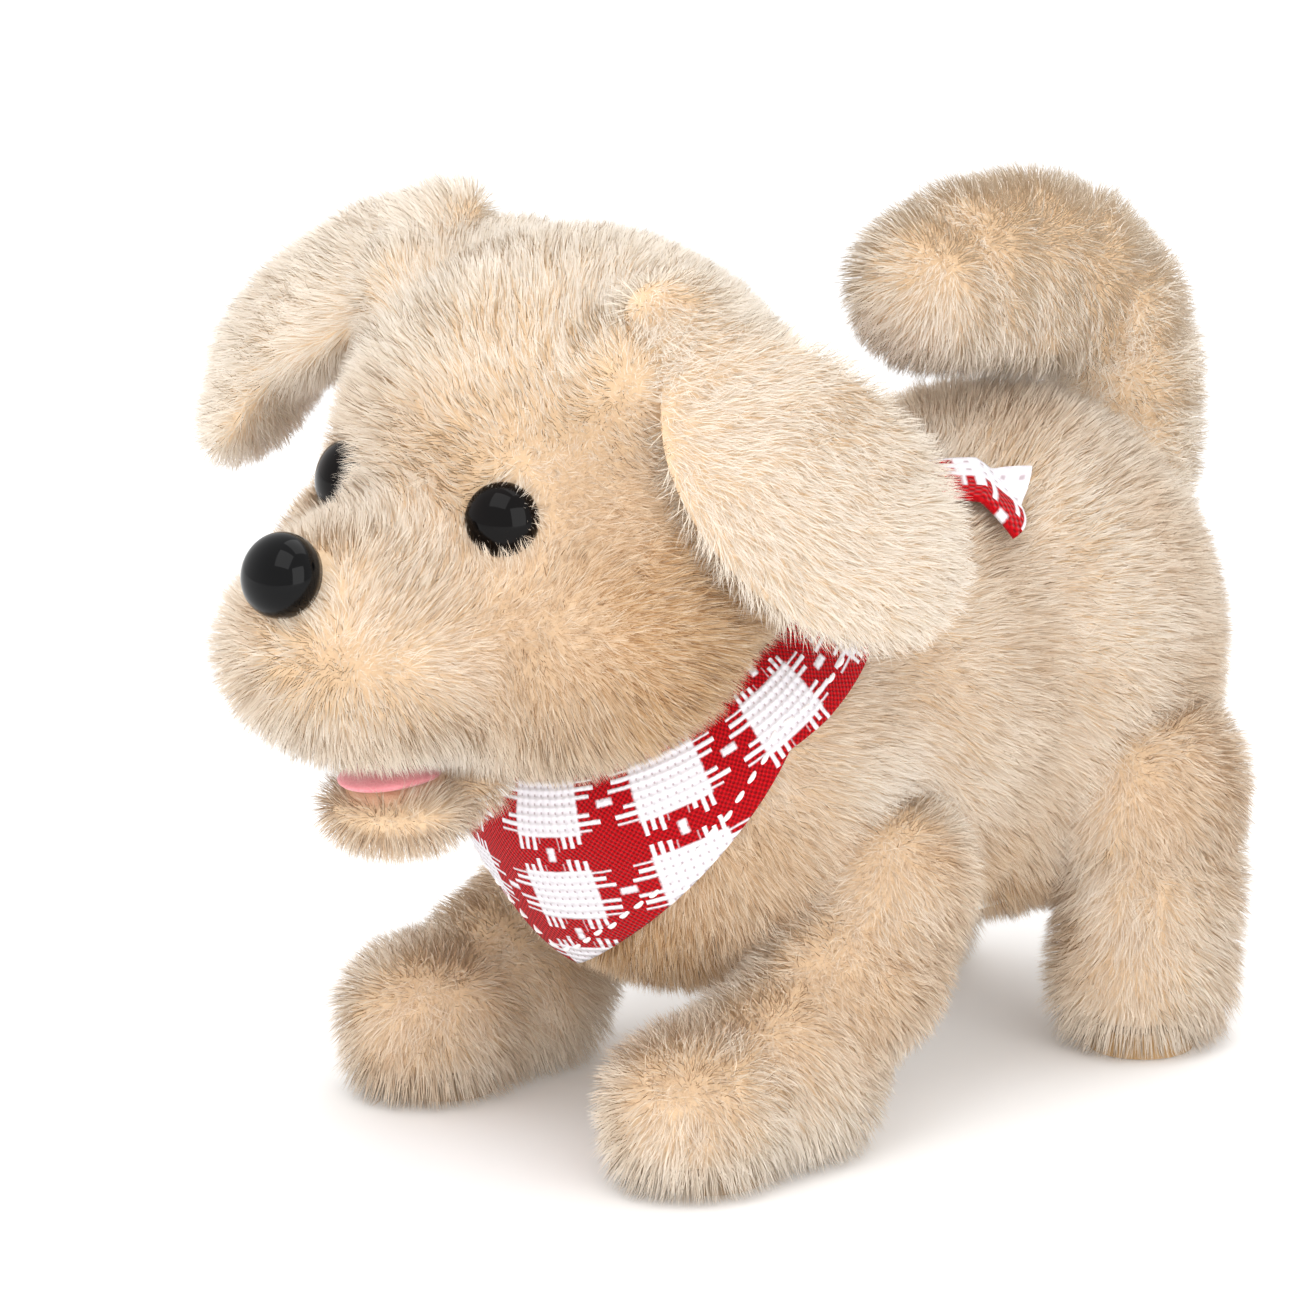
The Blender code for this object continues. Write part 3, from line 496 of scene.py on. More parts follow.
def material(name, roughness=0.5, metallic=0, **plain):
    """A new material, its node tree and its Principled shader."""
    made = bpy.data.materials.new(name)
    made.use_nodes = True
    shader = made.node_tree.nodes["Principled BSDF"]
    shader.inputs["Roughness"].default_value = roughness
    shader.inputs["Metallic"].default_value = metallic
    for key, value in plain.items():
        feed(made.node_tree, shader.inputs[key.replace("_", " ")], value)
    return made, made.node_tree, shader


def ramp(tree, value, stops):
    """A colour ramp through (position, colour) stops."""
    made = node(tree, "ValToRGB", Fac=value)
    elements = made.color_ramp.elements
    elements.remove(elements[1])
    for index, (position, colour) in enumerate(stops):
        element = elements[0] if index == 0 else elements.new(position)
        element.position = position
        element.color = (*colour, 1)
    return made.outputs[0]


def plush_material():
    """Pile: tan at the root, paler to the tip; golden where the light value is low and cream where it is
    high. In places that value is painted light and painted shade, in places the pile's own paler and
    darker parts.
    """
    made, tree, shader = material("plush_pile", 0.75, Specular_IOR_Level=0.2, Sheen_Weight=0.15,
                                  Sheen_Roughness=0.5, Sheen_Tint=srgb(255, 244, 228))
    along = attribute(tree, "along")
    golden = ramp(tree, along, ((0, srgb(178, 136, 92)), (0.5, srgb(199, 160, 116)),
                                (0.8, srgb(216, 186, 148)), (1, srgb(231, 212, 186))))
    cream = ramp(tree, along, ((0, srgb(224, 207, 184)), (0.5, srgb(233, 221, 204)),
                               (0.8, srgb(237, 228, 216)), (1, srgb(240, 235, 227))))
    patches = remap(tree, noise(tree, 38, 3), 0.3, 0.7, -0.22, 0.22)
    # light, set piece by piece, carries painted light and painted shade in places; the patches are
    # random tone.
    share = calc(tree, "ADD", attribute(tree, "light"), patches, clamp=True)
    mixed = blend_colour(tree, share, golden, cream)
    brown = product(tree, remap(tree, attribute(tree, "tone"), 0.15, 0.6, 0.75, 0),
                    remap(tree, share, 0, 1, 1, 0.3))
    mixed = blend_colour(tree, brown, mixed, srgb(180, 130, 82))
    pale = remap(tree, attribute(tree, "tone"), 0.58, 0.8, 0, 0.6)
    mixed = blend_colour(tree, pale, mixed, srgb(247, 233, 212))
    tree.links.new(mixed, shader.inputs["Base Color"])
    return made


def skin_material():
    """The knitted backing under the pile."""
    made, tree, shader = material("plush_backing", 0.95, Specular_IOR_Level=0.1)
    fibres = noise(tree, 900, 4, 0.7)
    colour = blend_colour(tree, fibres, srgb(214, 182, 144), srgb(232, 208, 178))
    tree.links.new(colour, shader.inputs["Base Color"])
    bump(tree, shader, fibres, 0.6, 0.0006)
    return made


def window(tree, value, half, soft=0.02):
    """1 where a value's size is under half, falling to 0 over soft."""
    inside = calc(tree, "SUBTRACT", half, calc(tree, "ABSOLUTE", value))
    return calc(tree, "ADD", calc(tree, "DIVIDE", inside, soft), 0.5, clamp=True)


def centred(tree, value, shift=0):
    """Distance from the nearest whole number (plus shift), from -0.5 to 0.5."""
    moved = calc(tree, "FRACT", calc(tree, "ADD", value, 0.5 - shift))
    return calc(tree, "SUBTRACT", moved, 0.5)


# The check, in squares from the middle of a white one
THREADS_U, THREADS_V = 16, 11            # in each square
SQUARE_HALF_U, SQUARE_HALF_V = 0.275, 0.3
FLOAT_ROOT, FLOAT_EDGE = 0.075, 0.27     # threads float past a square between these places across it
FLOAT_REACH_U, FLOAT_REACH_V = 0.36, 0.37
DASH_HALF = (0.06, 0.04, 0.08, 0.03)     # of the dashes half way between squares


def thread_noise(tree, value, count, other):
    """A random number for each thread, another on either side of the square."""
    index = calc(tree, "FLOOR", calc(tree, "ADD", product(tree, value, count), 0.5))
    key = calc(tree, "ADD", product(tree, index, 3.7), calc(tree, "SIGN", other))
    return node(tree, "TexWhiteNoise", {"noise_dimensions": "1D"}, W=key).outputs[0]


def floats(tree, across, along, thread, uneven, reach):
    """Separate white threads that run on past two sides of a white square."""
    ring = calc(tree, "SUBTRACT", window(tree, across, FLOAT_EDGE), window(tree, across, FLOAT_ROOT))
    ends = calc(tree, "ADD", reach, product(tree, uneven, 0.1))
    inside = calc(tree, "SUBTRACT", ends, calc(tree, "ABSOLUTE", along))
    inside = calc(tree, "GREATER_THAN", inside, 0)
    return product(tree, product(tree, ring, inside), window(tree, thread, 0.27, 0.12))


def white_share(tree, u, v, thread_u, thread_v):
    """1 on the white squares, their float threads and the dashes between them."""
    cell_u, cell_v = centred(tree, u), centred(tree, v)
    half_u, half_v = centred(tree, u, 0.5), centred(tree, v, 0.5)
    long_u, thin_v, long_v, thin_u = DASH_HALF
    uneven_v = thread_noise(tree, v, THREADS_V, cell_u)
    uneven_u = thread_noise(tree, u, THREADS_U, cell_v)
    marks = (
        product(tree, window(tree, cell_u, SQUARE_HALF_U), window(tree, cell_v, SQUARE_HALF_V)),
        product(tree, window(tree, half_u, long_u), window(tree, cell_v, thin_v)),
        product(tree, window(tree, half_v, long_v), window(tree, cell_u, thin_u)),
        floats(tree, cell_v, cell_u, thread_v, uneven_v, FLOAT_REACH_U),
        floats(tree, cell_u, cell_v, thread_u, uneven_u, FLOAT_REACH_V),
    )
    white = marks[0]
    for mark in marks[1:]:
        white = calc(tree, "MAXIMUM", white, mark)
    return white


def cotton_material():
    """Coarse red and white check: white squares with float threads on all sides, in a red ground."""
    made, tree, shader = material("checked_cotton", 0.9, Specular_IOR_Level=0.1,
                                  Sheen_Weight=0.1, Sheen_Roughness=0.4)
    flat = node(tree, "UVMap", {"uv_map": "cloth"}).outputs[0]
    wobble = node(tree, "TexNoise", {"noise_dimensions": "2D"}, Scale=9, Detail=2, Vector=flat)
    shaky = node(tree, "Mix", {"data_type": "VECTOR"})
    for socket, value in zip((shaky.inputs[0], *shaky.inputs[4:6]),
                             (0.012, flat, wobble.outputs["Color"])):
        feed(tree, socket, value)
    u, v, _ = node(tree, "SeparateXYZ", Vector=shaky.outputs[1]).outputs
    thread_u = centred(tree, product(tree, u, THREADS_U))
    thread_v = centred(tree, product(tree, v, THREADS_V))
    white = white_share(tree, u, v, thread_u, thread_v)
    rib_u = calc(tree, "COSINE", product(tree, thread_u, 2 * math.pi))
    rib_v = calc(tree, "COSINE", product(tree, thread_v, 2 * math.pi))
    # The holes between the threads, darkened below as painted shade.
    weave_hole_shade = product(tree, remap(tree, rib_u, -0.55, -0.95), remap(tree, rib_v, -0.3, -0.9))
    fine_u = calc(tree, "SINE", product(tree, u, THREADS_U * 3 * math.pi))
    fine_v = calc(tree, "SINE", product(tree, v, THREADS_V * 3 * math.pi))
    fine = product(tree, fine_u, fine_v)
    fuzz = noise(tree, 1800, 3, 0.7)
    # The red is darker and paler with the fine over-and-under of the weave: painted shade and highlight
    # on its relief.
    red = blend_colour(tree, remap(tree, fine, -0.6, 0.6), srgb(116, 0, 6), srgb(200, 6, 20))
    red = blend_colour(tree, remap(tree, fuzz, 0.3, 0.7, 0, 0.3), red, srgb(200, 26, 36))
    # The white goes grey-pink in the holes of the weave and darker at the threads' edges: painted shade.
    pale = blend_colour(tree, product(tree, weave_hole_shade, 0.75), srgb(231, 228, 233), srgb(150, 128, 132))
    pale = blend_colour(tree, remap(tree, rib_v, -0.2, -1, 0, 0.22), pale, srgb(190, 176, 184))
    tree.links.new(blend_colour(tree, white, red, pale), shader.inputs["Base Color"])
    relief_white = calc(tree, "ADD", product(tree, rib_v, 0.5), product(tree, rib_u, 0.3))
    relief = node(tree, "Mix", {"data_type": "FLOAT"})
    for socket, value in zip((relief.inputs[0], *relief.inputs[2:4]),
                             (white, product(tree, fine, 0.7), relief_white)):
        feed(tree, socket, value)
    total = calc(tree, "ADD", relief.outputs[0], product(tree, fuzz, 0.5))
    total = calc(tree, "ADD", total, product(tree, white, 0.6))
    bump(tree, shader, total, 0.8, 0.0005)
    return made


def thread_material():
    made, tree, shader = material("white_thread", 0.8, Sheen_Weight=0.3)
    twist = noise(tree, 3000, 2)
    colour = blend_colour(tree, twist, srgb(214, 205, 205), srgb(250, 248, 247))
    tree.links.new(colour, shader.inputs["Base Color"])
    bump(tree, shader, twist, 0.5, 0.0002)
    return made


def gloss_material(name, dark, bright, polish):
    """Polished dark plastic, paler in noisy patches towards its outline as seen (a painted sheen), with
    fine handling marks in the gloss.
    """
    made, tree, shader = material(name, 0.06, Specular_IOR_Level=polish)
    depth = remap(tree, noise(tree, 160, 2), 0.35, 0.7)
    # Paler where the surface turns away from the view: painted sheen at grazing angles.
    rim = node(tree, "LayerWeight", Blend=0.35).outputs["Facing"]
    colour = blend_colour(tree, product(tree, depth, rim), dark, bright)
    tree.links.new(colour, shader.inputs["Base Color"])
    marks = remap(tree, noise(tree, 900, 4), 0.45, 0.75, 0.05, 0.13)
    tree.links.new(marks, shader.inputs["Roughness"])
    return made


def tongue_material():
    made, tree, shader = material("pink_felt", 0.9, Sheen_Weight=0.5, Sheen_Roughness=0.4)
    fibres = noise(tree, 1500, 4, 0.7)
    colour = blend_colour(tree, fibres, srgb(226, 120, 132), srgb(250, 176, 182))
    tree.links.new(colour, shader.inputs["Base Color"])
    bump(tree, shader, fibres, 0.7, 0.0004)
    return made


def moulded(name, colour, roughness=0.5, metallic=0, grain=700, spread=0.12, marks=90):
    """Plastic, metal or rubber: slight colour drift, worn patches in the gloss and a fine grain."""
    made, tree, shader = material(name, roughness, metallic)
    drift = remap(tree, noise(tree, marks, 3), 0.3, 0.7)
    dark = tuple(value * (1 - spread) for value in colour)
    light = tuple(min(1, value * (1 + spread)) for value in colour)
    tree.links.new(blend_colour(tree, drift, dark, light), shader.inputs["Base Color"])
    fine = noise(tree, grain, 4, 0.6)
    rough = remap(tree, fine, 0.3, 0.7, max(roughness - 0.08, 0.05), min(roughness + 0.1, 1))
    tree.links.new(rough, shader.inputs["Roughness"])
    bump(tree, shader, fine, 0.3, 0.00008)
    return made


PLUSH = plush_material()
BACKING = skin_material()
COTTON = cotton_material()
THREAD = thread_material()
# The second colour of each is the painted sheen at the outline.
EYE_GLOSS = gloss_material("eye_gloss", srgb(6, 4, 4), srgb(30, 18, 12), 0.14)
NOSE_GLOSS = gloss_material("nose_gloss", srgb(5, 5, 6), srgb(16, 16, 18), 0.16)
FELT = tongue_material()


# ---- covers and their pile
def finish_piece(obj, body, look, slot, *replaced):
    """Shades a new piece, gives it its material and its body, and hides the CAD nodes that it replaces;
    slot is not used.
    """
    obj.data.shade_smooth()
    obj.data.materials.append(look)
    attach(obj, body)
    if replaced:
        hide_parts(*replaced)


def dress(obj, body, node_name):
    """Makes a skin the padded cover that stands for a CAD node."""
    obj.data.materials.clear()
    finish_piece(obj, body, BACKING, "plush_fur", node_name)


def all_one_way(*direction):
    """A flow that runs one way over the whole skin."""
    return lambda points: np.tile(direction, (len(points), 1))


def leg_space(end, side):
    hip = FRONT_HIP if end == "front" else REAR_HIP
    return space(f"{end}_{side}", sweep(LEG_FORMS[end, side], LEG_SWING, (0, *hip), "X"))


def from_neck(points):
    """Polar angle from the neck's axis and turn round it from the front, in degrees."""
    neck, front = NECK_AXES
    direction = unit(points - np.array(CHEST[0]))
    polar = np.degrees(np.arccos((direction @ np.array(neck)).clip(-1, 1)))
    turn = np.degrees(np.arctan2(direction[:, 0], direction @ np.array(front)))
    return polar, turn


def scarf_edge(turn):
    """Polar angle of the bandana's outer edge: a pointed flap in front, a plain band behind."""
    band = 68 - 6 * np.maximum(0, np.abs(turn) - 90) / 90
    return np.maximum(band, 112 - 0.57 * np.abs(turn))


def near(points, centre, low, high):
    """0 within low of a point, rising to 1 at high."""
    away = np.linalg.norm(points - np.array(centre), axis=1)
    share = ((away - low) / (high - low)).clip(0, 1)
    return share * share * (3 - 2 * share)


NECK = (Vector(HEAD_FORM[0][0]) - Vector(CHEST[0])).normalized()
NECK_AXES = (tuple(NECK), (0, -NECK.z, NECK.y))
LEGS = [(end, side, word) for end in ("front", "rear") for side, word in SIDES]
LEG_FORMS = {(end, side): mirrored(FRONT_LEG_FORM if end == "front" else REAR_LEG_FORM, side)
             for end, side, _ in LEGS}


def body_flow(points):
    """Back and down over the sides, straight down on the chest."""
    flow = np.tile((0, 0.8, -0.6), (len(points), 1))
    chest = (1 - (points[:, 1] - 5) / 40).clip(0, 1)[:, None]
    flow = flow * (1 - chest) + np.array((0, 0.1, -1)) * chest
    flow[:, 0] += 0.25 * np.sign(points[:, 0])
    return flow


def body_trim(points):
    """No pile under the bandana, and short pile along its edge."""
    polar, turn = from_neck(points)
    inside = scarf_edge(turn) - polar
    return np.where(inside > 5, 0, np.where(inside > -1, 0.55, 1))


def build_body():
    cover = skin("body_cover", BODY_FORM)
    spaces = [leg_space(end, side) for end, side, _ in LEGS]
    spaces.append(space("head", HEAD_FORM))
    spaces.append(space("tail", sweep(TAIL_ROOT, TAIL_SWING, TAIL_PIVOT, "Z")))
    cut_away(cover, spaces)
    dress(cover, "torso", "body_plush")
    away = [(LEG_FORMS[end, side], -2.5) for end, side, _ in LEGS]
    away += [(HEAD_FORM, -3), (TAIL_ROOT, -3), (JAW_FORM, -1)]

    def light(points, normals):
        # Darker low down: painted shade under the belly, over the belly's own more golden tone.
        low = ((75 - points[:, 2]) / 35).clip(0, 1)
        # Darker round the chest: painted shade under the head and bandana.
        chest = 1 - near(points, (0, 8, 60), 25, 60)
        drift = 0.08 * waves(points, 40, 5)[:, 0]
        # Paler where the pile faces up: painted light from above; drift is random tone.
        return 0.7 + 0.05 * normals[:, 2] - 0.25 * low - 0.45 * chest + drift

    pile("body_pile", cover, "torso", body_flow, light, away, seed=11, trim=body_trim)


def head_flow(points):
    """Back from the nose over the whole face, and in over the rims of the eyes and nose."""
    flow = unit(points - np.array((0, -78, 118))) + np.array((0, 0, -0.1))
    for (centre, _), radius in (*((eye, EYE_RADIUS) for eye in EYES), (NOSE, NOSE_RADIUS)):
        away = near(points, centre, radius + 1, radius + 6)[:, None]
        flow = flow * away + unit(np.array(centre) - points) * (1 - away)
    return flow


# Pile round each button: its place, radius, shortest share, how far that reaches, bare rim and depth.
BUTTON_TRIMS = (
    *((eye, EYE_RADIUS, 0.78, 15, 1.6, 14) for eye in EYES),
    (NOSE, NOSE_RADIUS, 0.72, 17, 2.2, 16),
)


def head_trim(points):
    """Shorter pile on the crown and round the eyes and nose, and none under them."""
    share = 1 - 0.25 * ((points[:, 2] - 155) / 20).clip(0, 1)
    for (centre, outward), radius, short, reach, rim, deep in BUTTON_TRIMS:
        close = 1 - near(points, centre, radius + 2, reach)
        share = np.minimum(share, 1 - (1 - short) * close)
        axis = unit(np.array(outward))
        offset = points - np.array(centre)
        along = offset @ axis
        beside = np.linalg.norm(offset - along[:, None] * axis, axis=1)
        share[(beside < radius - rim) & (along > -deep)] = 0
    return share


def build_head():
    cover = skin("head_cover", HEAD_FORM + EAR_ROOTS)
    cut_away(cover, [skin("space_jaw", sweep(JAW_FORM, JAW_SWING, JAW_PIVOT, "X"), 2.5, 2.5)])
    dress(cover, "torso", "head_plush")
    away = [(EAR_FORMS["left"], -6), (EAR_FORMS["right"], -6), (JAW_FORM, -2),
            (TONGUE_ROOM, 0.5)]

    def light(points, normals):
        # Paler on the crown: painted light on the top of the head.
        crown = ((points[:, 2] - 145) / 30).clip(0, 1)
        sides = np.abs(points) * (1, 0, 0) + points * (0, 1, 1)
        # Darker on the cheeks: painted shade under the ears, over the cheeks' own golden tone.
        cheek = 1 - near(sides, (52, 4, 118), 12, 50)
        return 0.75 + 0.35 * crown - cheek + 0.06 * waves(points, 30, 6)[:, 0]

    pile("head_pile", cover, "torso", head_flow, light, away, seed=21, trim=head_trim)


def build_ears():
    for side, word in SIDES:
        form = EAR_FORMS[word]
        cover = skin("ear_cover_" + word, form, DEPTH, 2, 14)
        dress(cover, "torso", "ear_" + word)
        # The near (left) ear is paler than the far one: painted light.
        lightness = 1.1 + 0.06 * side

        def light(points, normals):
            return lightness + 0.1 * waves(points, 25, 8)[:, 0]

        flow = all_one_way(*unit(np.array(form[0][2], float)))
        away = [(HEAD_FORM + EAR_ROOTS, -4)]
        pile("ear_pile_" + word, cover, "torso", flow, light, away, 34, 6.4, seed=31 + side)


def build_tail():
    cover = skin("tail_cover", TAIL_FORM, DEPTH, 2.5)
    dress(cover, "tail", "tail_plush")
    line = np.array([(0, y, z) for y, z in TAIL_LINE])
    runs = unit(np.gradient(line, axis=0))

    def flow(points):
        nearest = np.linalg.norm(points[:, None] - line[None], axis=2).argmin(1)
        return runs[nearest] + np.array((0, 0, -0.8))

    def light(points, normals):
        # Paler all over to make up for the lamp light the tail lacks, and paler where it faces up:
        # painted light.
        return 1.4 + 0.2 * normals[:, 2] + 0.1 * waves(points, 30, 9)[:, 0]

    pile("tail_pile", cover, "tail", flow, light, [(BODY_FORM, -6)], 32, seed=41)


def build_jaw():
    cover = skin("jaw_cover", JAW_FORM, 4, 2, 6)
    dress(cover, "jaw", "jaw_plush")

    def light(points, normals):
        return np.full(len(points), 0.5)

    pile("jaw_pile", cover, "jaw", all_one_way(0, 0.3, -0.6), light, [(TONGUE_BED, 0)],
         length=6, seed=51)


def build_tongue():
    """A felt tongue, rounded down at its edges and tip, with a groove along its middle."""
    bm = bmesh.new()
    bmesh.ops.create_uvsphere(bm, u_segments=40, v_segments=24, radius=1)
    for vert in bm.verts:
        x, y, z = vert.co
        groove = 0.5 * math.exp(-(x / 0.16) ** 2) * max(z, 0)
        wide, long, thick = TONGUE_RADII
        bend = Vector((wide * x, long * y - 1.5 * x * x, (thick - groove) * z - 0.8 * y * y))
        vert.co = Vector(place(Vector(TONGUE_CENTRE) + bend))
    tongue = object_of("tongue_felt", bm)
    finish_piece(tongue, "jaw", FELT, "tongue_fabric", "tongue")


def flatten_sole(obj):
    """Draws the underside of a paw down to just above its sole pad."""
    points = vectors(obj.data, "co")
    heights = (points[:, 2] - CAD_BOX[0].z) / MM
    share = ((PAW_BEND - heights) / (PAW_BEND - heights.min())).clip(0, 1)
    lowered = PAW_BEND - (PAW_BEND - SOLE_TOP) * np.sin(share * math.pi / 2) ** 0.8
    points[:, 2] = np.where(heights < PAW_BEND, lowered * MM + CAD_BOX[0].z, points[:, 2])
    obj.data.vertices.foreach_set("co", points.ravel())
    obj.data.update()


def build_legs():
    def light(points, normals):
        low = ((32 - points[:, 2]) / 25).clip(0, 1)
        return 0.64 + 0.25 * low + 0.1 * waves(points, 22, 4)[:, 0]

    def trim(points):
        return 1 + 0.5 * ((14 - (points[:, 2] - FLOOR)) / 8).clip(0, 1)

    for end, side, word in LEGS:
        name, body = f"leg_{end}_{word}", f"{end}_{word}_leg"
        cover = skin(name + "_cover", LEG_FORMS[end, side], DEPTH, 2.5)
        flatten_sole(cover)
        dress(cover, body, name + "_plush")
        pile(name + "_pile", cover, body, all_one_way(0, -0.15, -0.9), light,
             [(BODY_FORM, -5)], 32, seed=60 + 7 * len(name) + side, trim=trim)


# ---- eyes and nose
def turned_cap(name, centre, outward, profile, upright=1, sides=64):
    """A turned button: profile points (radius, height along outward) from its top to its stem's end."""
    outward = Vector(outward).normalized()
    right = outward.cross(Vector((0, 0, 1))).normalized()
    up = right.cross(outward)
    bm = bmesh.new()
    rings = []
    for radius, along in profile:
        ring = []
        for k in range(sides):
            angle = 2 * math.pi * k / sides
            spot = Vector(centre) + outward * along
            spot += right * (radius * math.cos(angle)) + up * (radius * upright * math.sin(angle))
            ring.append(bm.verts.new(Vector(place(spot))))
        rings.append(ring)
    for first, second in zip(rings, rings[1:]):
        for k in range(sides):
            bm.faces.new((first[k], first[(k + 1) % sides], second[(k + 1) % sides], second[k]))
    bm.faces.new(rings[0])
    bm.faces.new(list(reversed(rings[-1])))
    bmesh.ops.recalc_face_normals(bm, faces=bm.faces)
    return object_of(name, bm)


def dome(radius, rise, rim, stem, depth):
    """Profile of a domed button with a rounded rim and a stem."""
    steps = 22
    points = [(0.02, rise)]
    for k in range(1, steps + 1):
        angle = math.pi / 2 * k / steps
        points.append((radius * math.sin(angle), rise * math.cos(angle)))
    points += [(radius * 0.985, -rim * 0.5), (radius * 0.9, -rim), (stem * 1.2, -rim - 0.3),
               (stem, -rim - 1), (stem, -depth)]
    return points


def build_buttons():
    for (centre, outward), word in zip(EYES, ("left", "right")):
        sunk = Vector(centre) - Vector(outward).normalized() * EYE_SINK
        eye = turned_cap("eye_button_" + word, sunk, outward, dome(EYE_RADIUS, 5, 2.4, 1.8, 11.5))
        finish_piece(eye, "torso", EYE_GLOSS, "eye_gloss", "eye_" + word)
    nose = turned_cap("nose_button", *NOSE, dome(NOSE_RADIUS, 6.4, 3.6, 1.8, 13.5), 0.96)
    finish_piece(nose, "torso", NOSE_GLOSS, "nose_gloss", "nose")


# ---- bandana
def on_body(direction, lift):
    """The farthest point of the body's form along a direction from the chest's centre."""
    start = Vector(CHEST[0])
    reach = 0
    for centre, radii in BODY_FORM:
        scale = [radius + lift for radius in radii]
        begin = Vector([(s - c) / r for s, c, r in zip(start, centre, scale)])
        step = Vector([d / r for d, r in zip(direction, scale)])
        b, a, c = begin.dot(step), step.dot(step), begin.dot(begin) - 1
        if b * b > a * c:
            reach = max(reach, (-b + math.sqrt(b * b - a * c)) / a)
    return start + Vector(direction) * reach


def round_neck(polar, turn):
    neck, front = Vector(NECK_AXES[0]), Vector(NECK_AXES[1])
    polar, turn = math.radians(polar), math.radians(turn)
    aside = front * math.cos(turn) + Vector((math.sin(turn), 0, 0))
    return neck * math.cos(polar) + aside * math.sin(polar)


def scarf_inner(turn):
    """The polar angle where the bandana runs in under the head."""
    for polar in np.arange(SCARF_INNER, SCARF_INNER_MOST, 0.5):
        spot = np.array([on_body(round_neck(polar, turn), SCARF_LIFT)])
        if height(spot, HEAD_FORM)[0] > -5 and height(spot, JAW_FORM)[0] > 0.5:
            return polar
    return SCARF_INNER_MOST


def cloth_uv(polar, turn):
    """Place in the check, whose squares sit at whole numbers."""
    along, down = turn - CHECK_START[0], polar - CHECK_START[1]
    return along / CHECK_PITCH[0], -(down + CHECK_SLANT * along) / CHECK_PITCH[1]


def cloth_grid(name, rows, columns, spot, uv):
    """A sheet through a grid of points, spot(row share, column share), with a cloth UV map."""
    bm = bmesh.new()
    layer = bm.loops.layers.uv.new("cloth")
    grid, places = [], {}
    for row in range(rows + 1):
        line = []
        for column in range(columns + 1):
            vert = bm.verts.new(Vector(place(spot(row / rows, column / columns))))
            places[vert] = uv(row / rows, column / columns)
            line.append(vert)
        grid.append(line)
    for row in range(rows):
        for column in range(columns):
            face = bm.faces.new((grid[row][column], grid[row][column + 1],
                                 grid[row + 1][column + 1], grid[row + 1][column]))
            for loop in face.loops:
                loop[layer].uv = places[loop.vert]
    obj = object_of(name, bm)
    solid = obj.modifiers.new("cloth", "SOLIDIFY")
    solid.thickness = CLOTH_THICKNESS * MM
    solid.offset = 0
    return applied(obj)


def scarf_spot(polar, turn, inner, outer):
    """A point of the bandana, with folds that open towards its outer edge."""
    share = (polar - inner) / max(outer - inner, 1)
    front = max(0, 1 - abs(turn) / 100)
    fold = math.sin(math.radians(turn * 4.5 + 40)) + 0.6 * math.sin(math.radians(turn * 9 + 95))
    lift = SCARF_LIFT + 0.55 * fold * share * front + 0.6 * share ** 3
    lift += 0.35 * math.sin(math.radians(polar * 11 + turn * 3)) * front
    return on_body(round_neck(polar, turn), lift)


def build_bandana():
    turns = np.linspace(-SCARF_END, SCARF_END, SCARF_COLUMNS + 1)
    inner = np.array([scarf_inner(float(turn)) for turn in turns])
    smooth = np.convolve(np.pad(inner, 6, mode="edge"), np.ones(13) / 13, "valid")

    def edges(column_share):
        turn = SCARF_END * (2 * column_share - 1)
        return turn, float(np.interp(turn, turns, smooth)), float(scarf_edge(np.array(turn)))

    def spot(row_share, column_share):
        turn, low, high = edges(column_share)
        return scarf_spot(low + (high - low) * row_share, turn, low, high)

    def uv(row_share, column_share):
        turn, low, high = edges(column_share)
        return cloth_uv(low + (high - low) * row_share, turn)

    scarf = cloth_grid("bandana_cloth", SCARF_ROWS, SCARF_COLUMNS, spot, uv)
    finish_piece(scarf, "torso", COTTON, "checked_cotton", "bandana")
    return scarf, build_stitches(edges)


def stitch_line(edges):
    """Points a few millimetres in from the bandana's outer edge: x, y, z and the way out."""
    line = []
    for column in np.linspace(0.16, 0.84, 1600):
        turn, low, high = edges(column)
        spot = scarf_spot(high - 5.6, turn, low, high)
        line.append([*spot, *(spot - Vector(CHEST[0])).normalized()])
    return np.array(line)


def build_stitches(edges):
    """A running stitch of thread along the bandana's outer edge."""
    line = stitch_line(edges)
    lengths = np.concatenate([[0], np.cumsum(np.linalg.norm(np.diff(line[:, :3], axis=0), axis=1))])

    def at(length):
        return np.array([np.interp(length, lengths, column) for column in line.T])

    bm = bmesh.new()
    pitch, dash, steps, sides = 4.4, 3.1, 6, 8
    for index in range(int(lengths[-1] / pitch)):
        rings = []
        wander = 0.25 * math.sin(index * 2.3)
        for k in range(steps + 1):
            share = k / steps
            length = index * pitch + dash * share
            centre, out = np.split(at(length), 2)
            out = unit(out)
            side = unit(np.cross(unit(at(length + 0.5)[:3] - centre + 1e-9), out))
            arch = math.sin(math.pi * share)
            centre = centre + out * (0.25 + 0.5 * arch) + side * wander
            radius = 0.2 + 0.22 * arch
            rings.append([bm.verts.new(Vector(place(centre + radius * (
                side * math.cos(turn) * 1.25 + out * math.sin(turn)))))
                for turn in np.arange(sides) * 2 * math.pi / sides])
        for first, second in zip(rings, rings[1:]):
            for j in range(sides):
                around = (j + 1) % sides
                bm.faces.new((first[j], first[around], second[around], second[j]))
        bm.faces.new(list(reversed(rings[0])))
        bm.faces.new(rings[-1])
    bmesh.ops.recalc_face_normals(bm, faces=bm.faces)
    stitches = object_of("bandana_stitches", bm)
    finish_piece(stitches, "torso", THREAD, "checked_cotton")
    return stitches


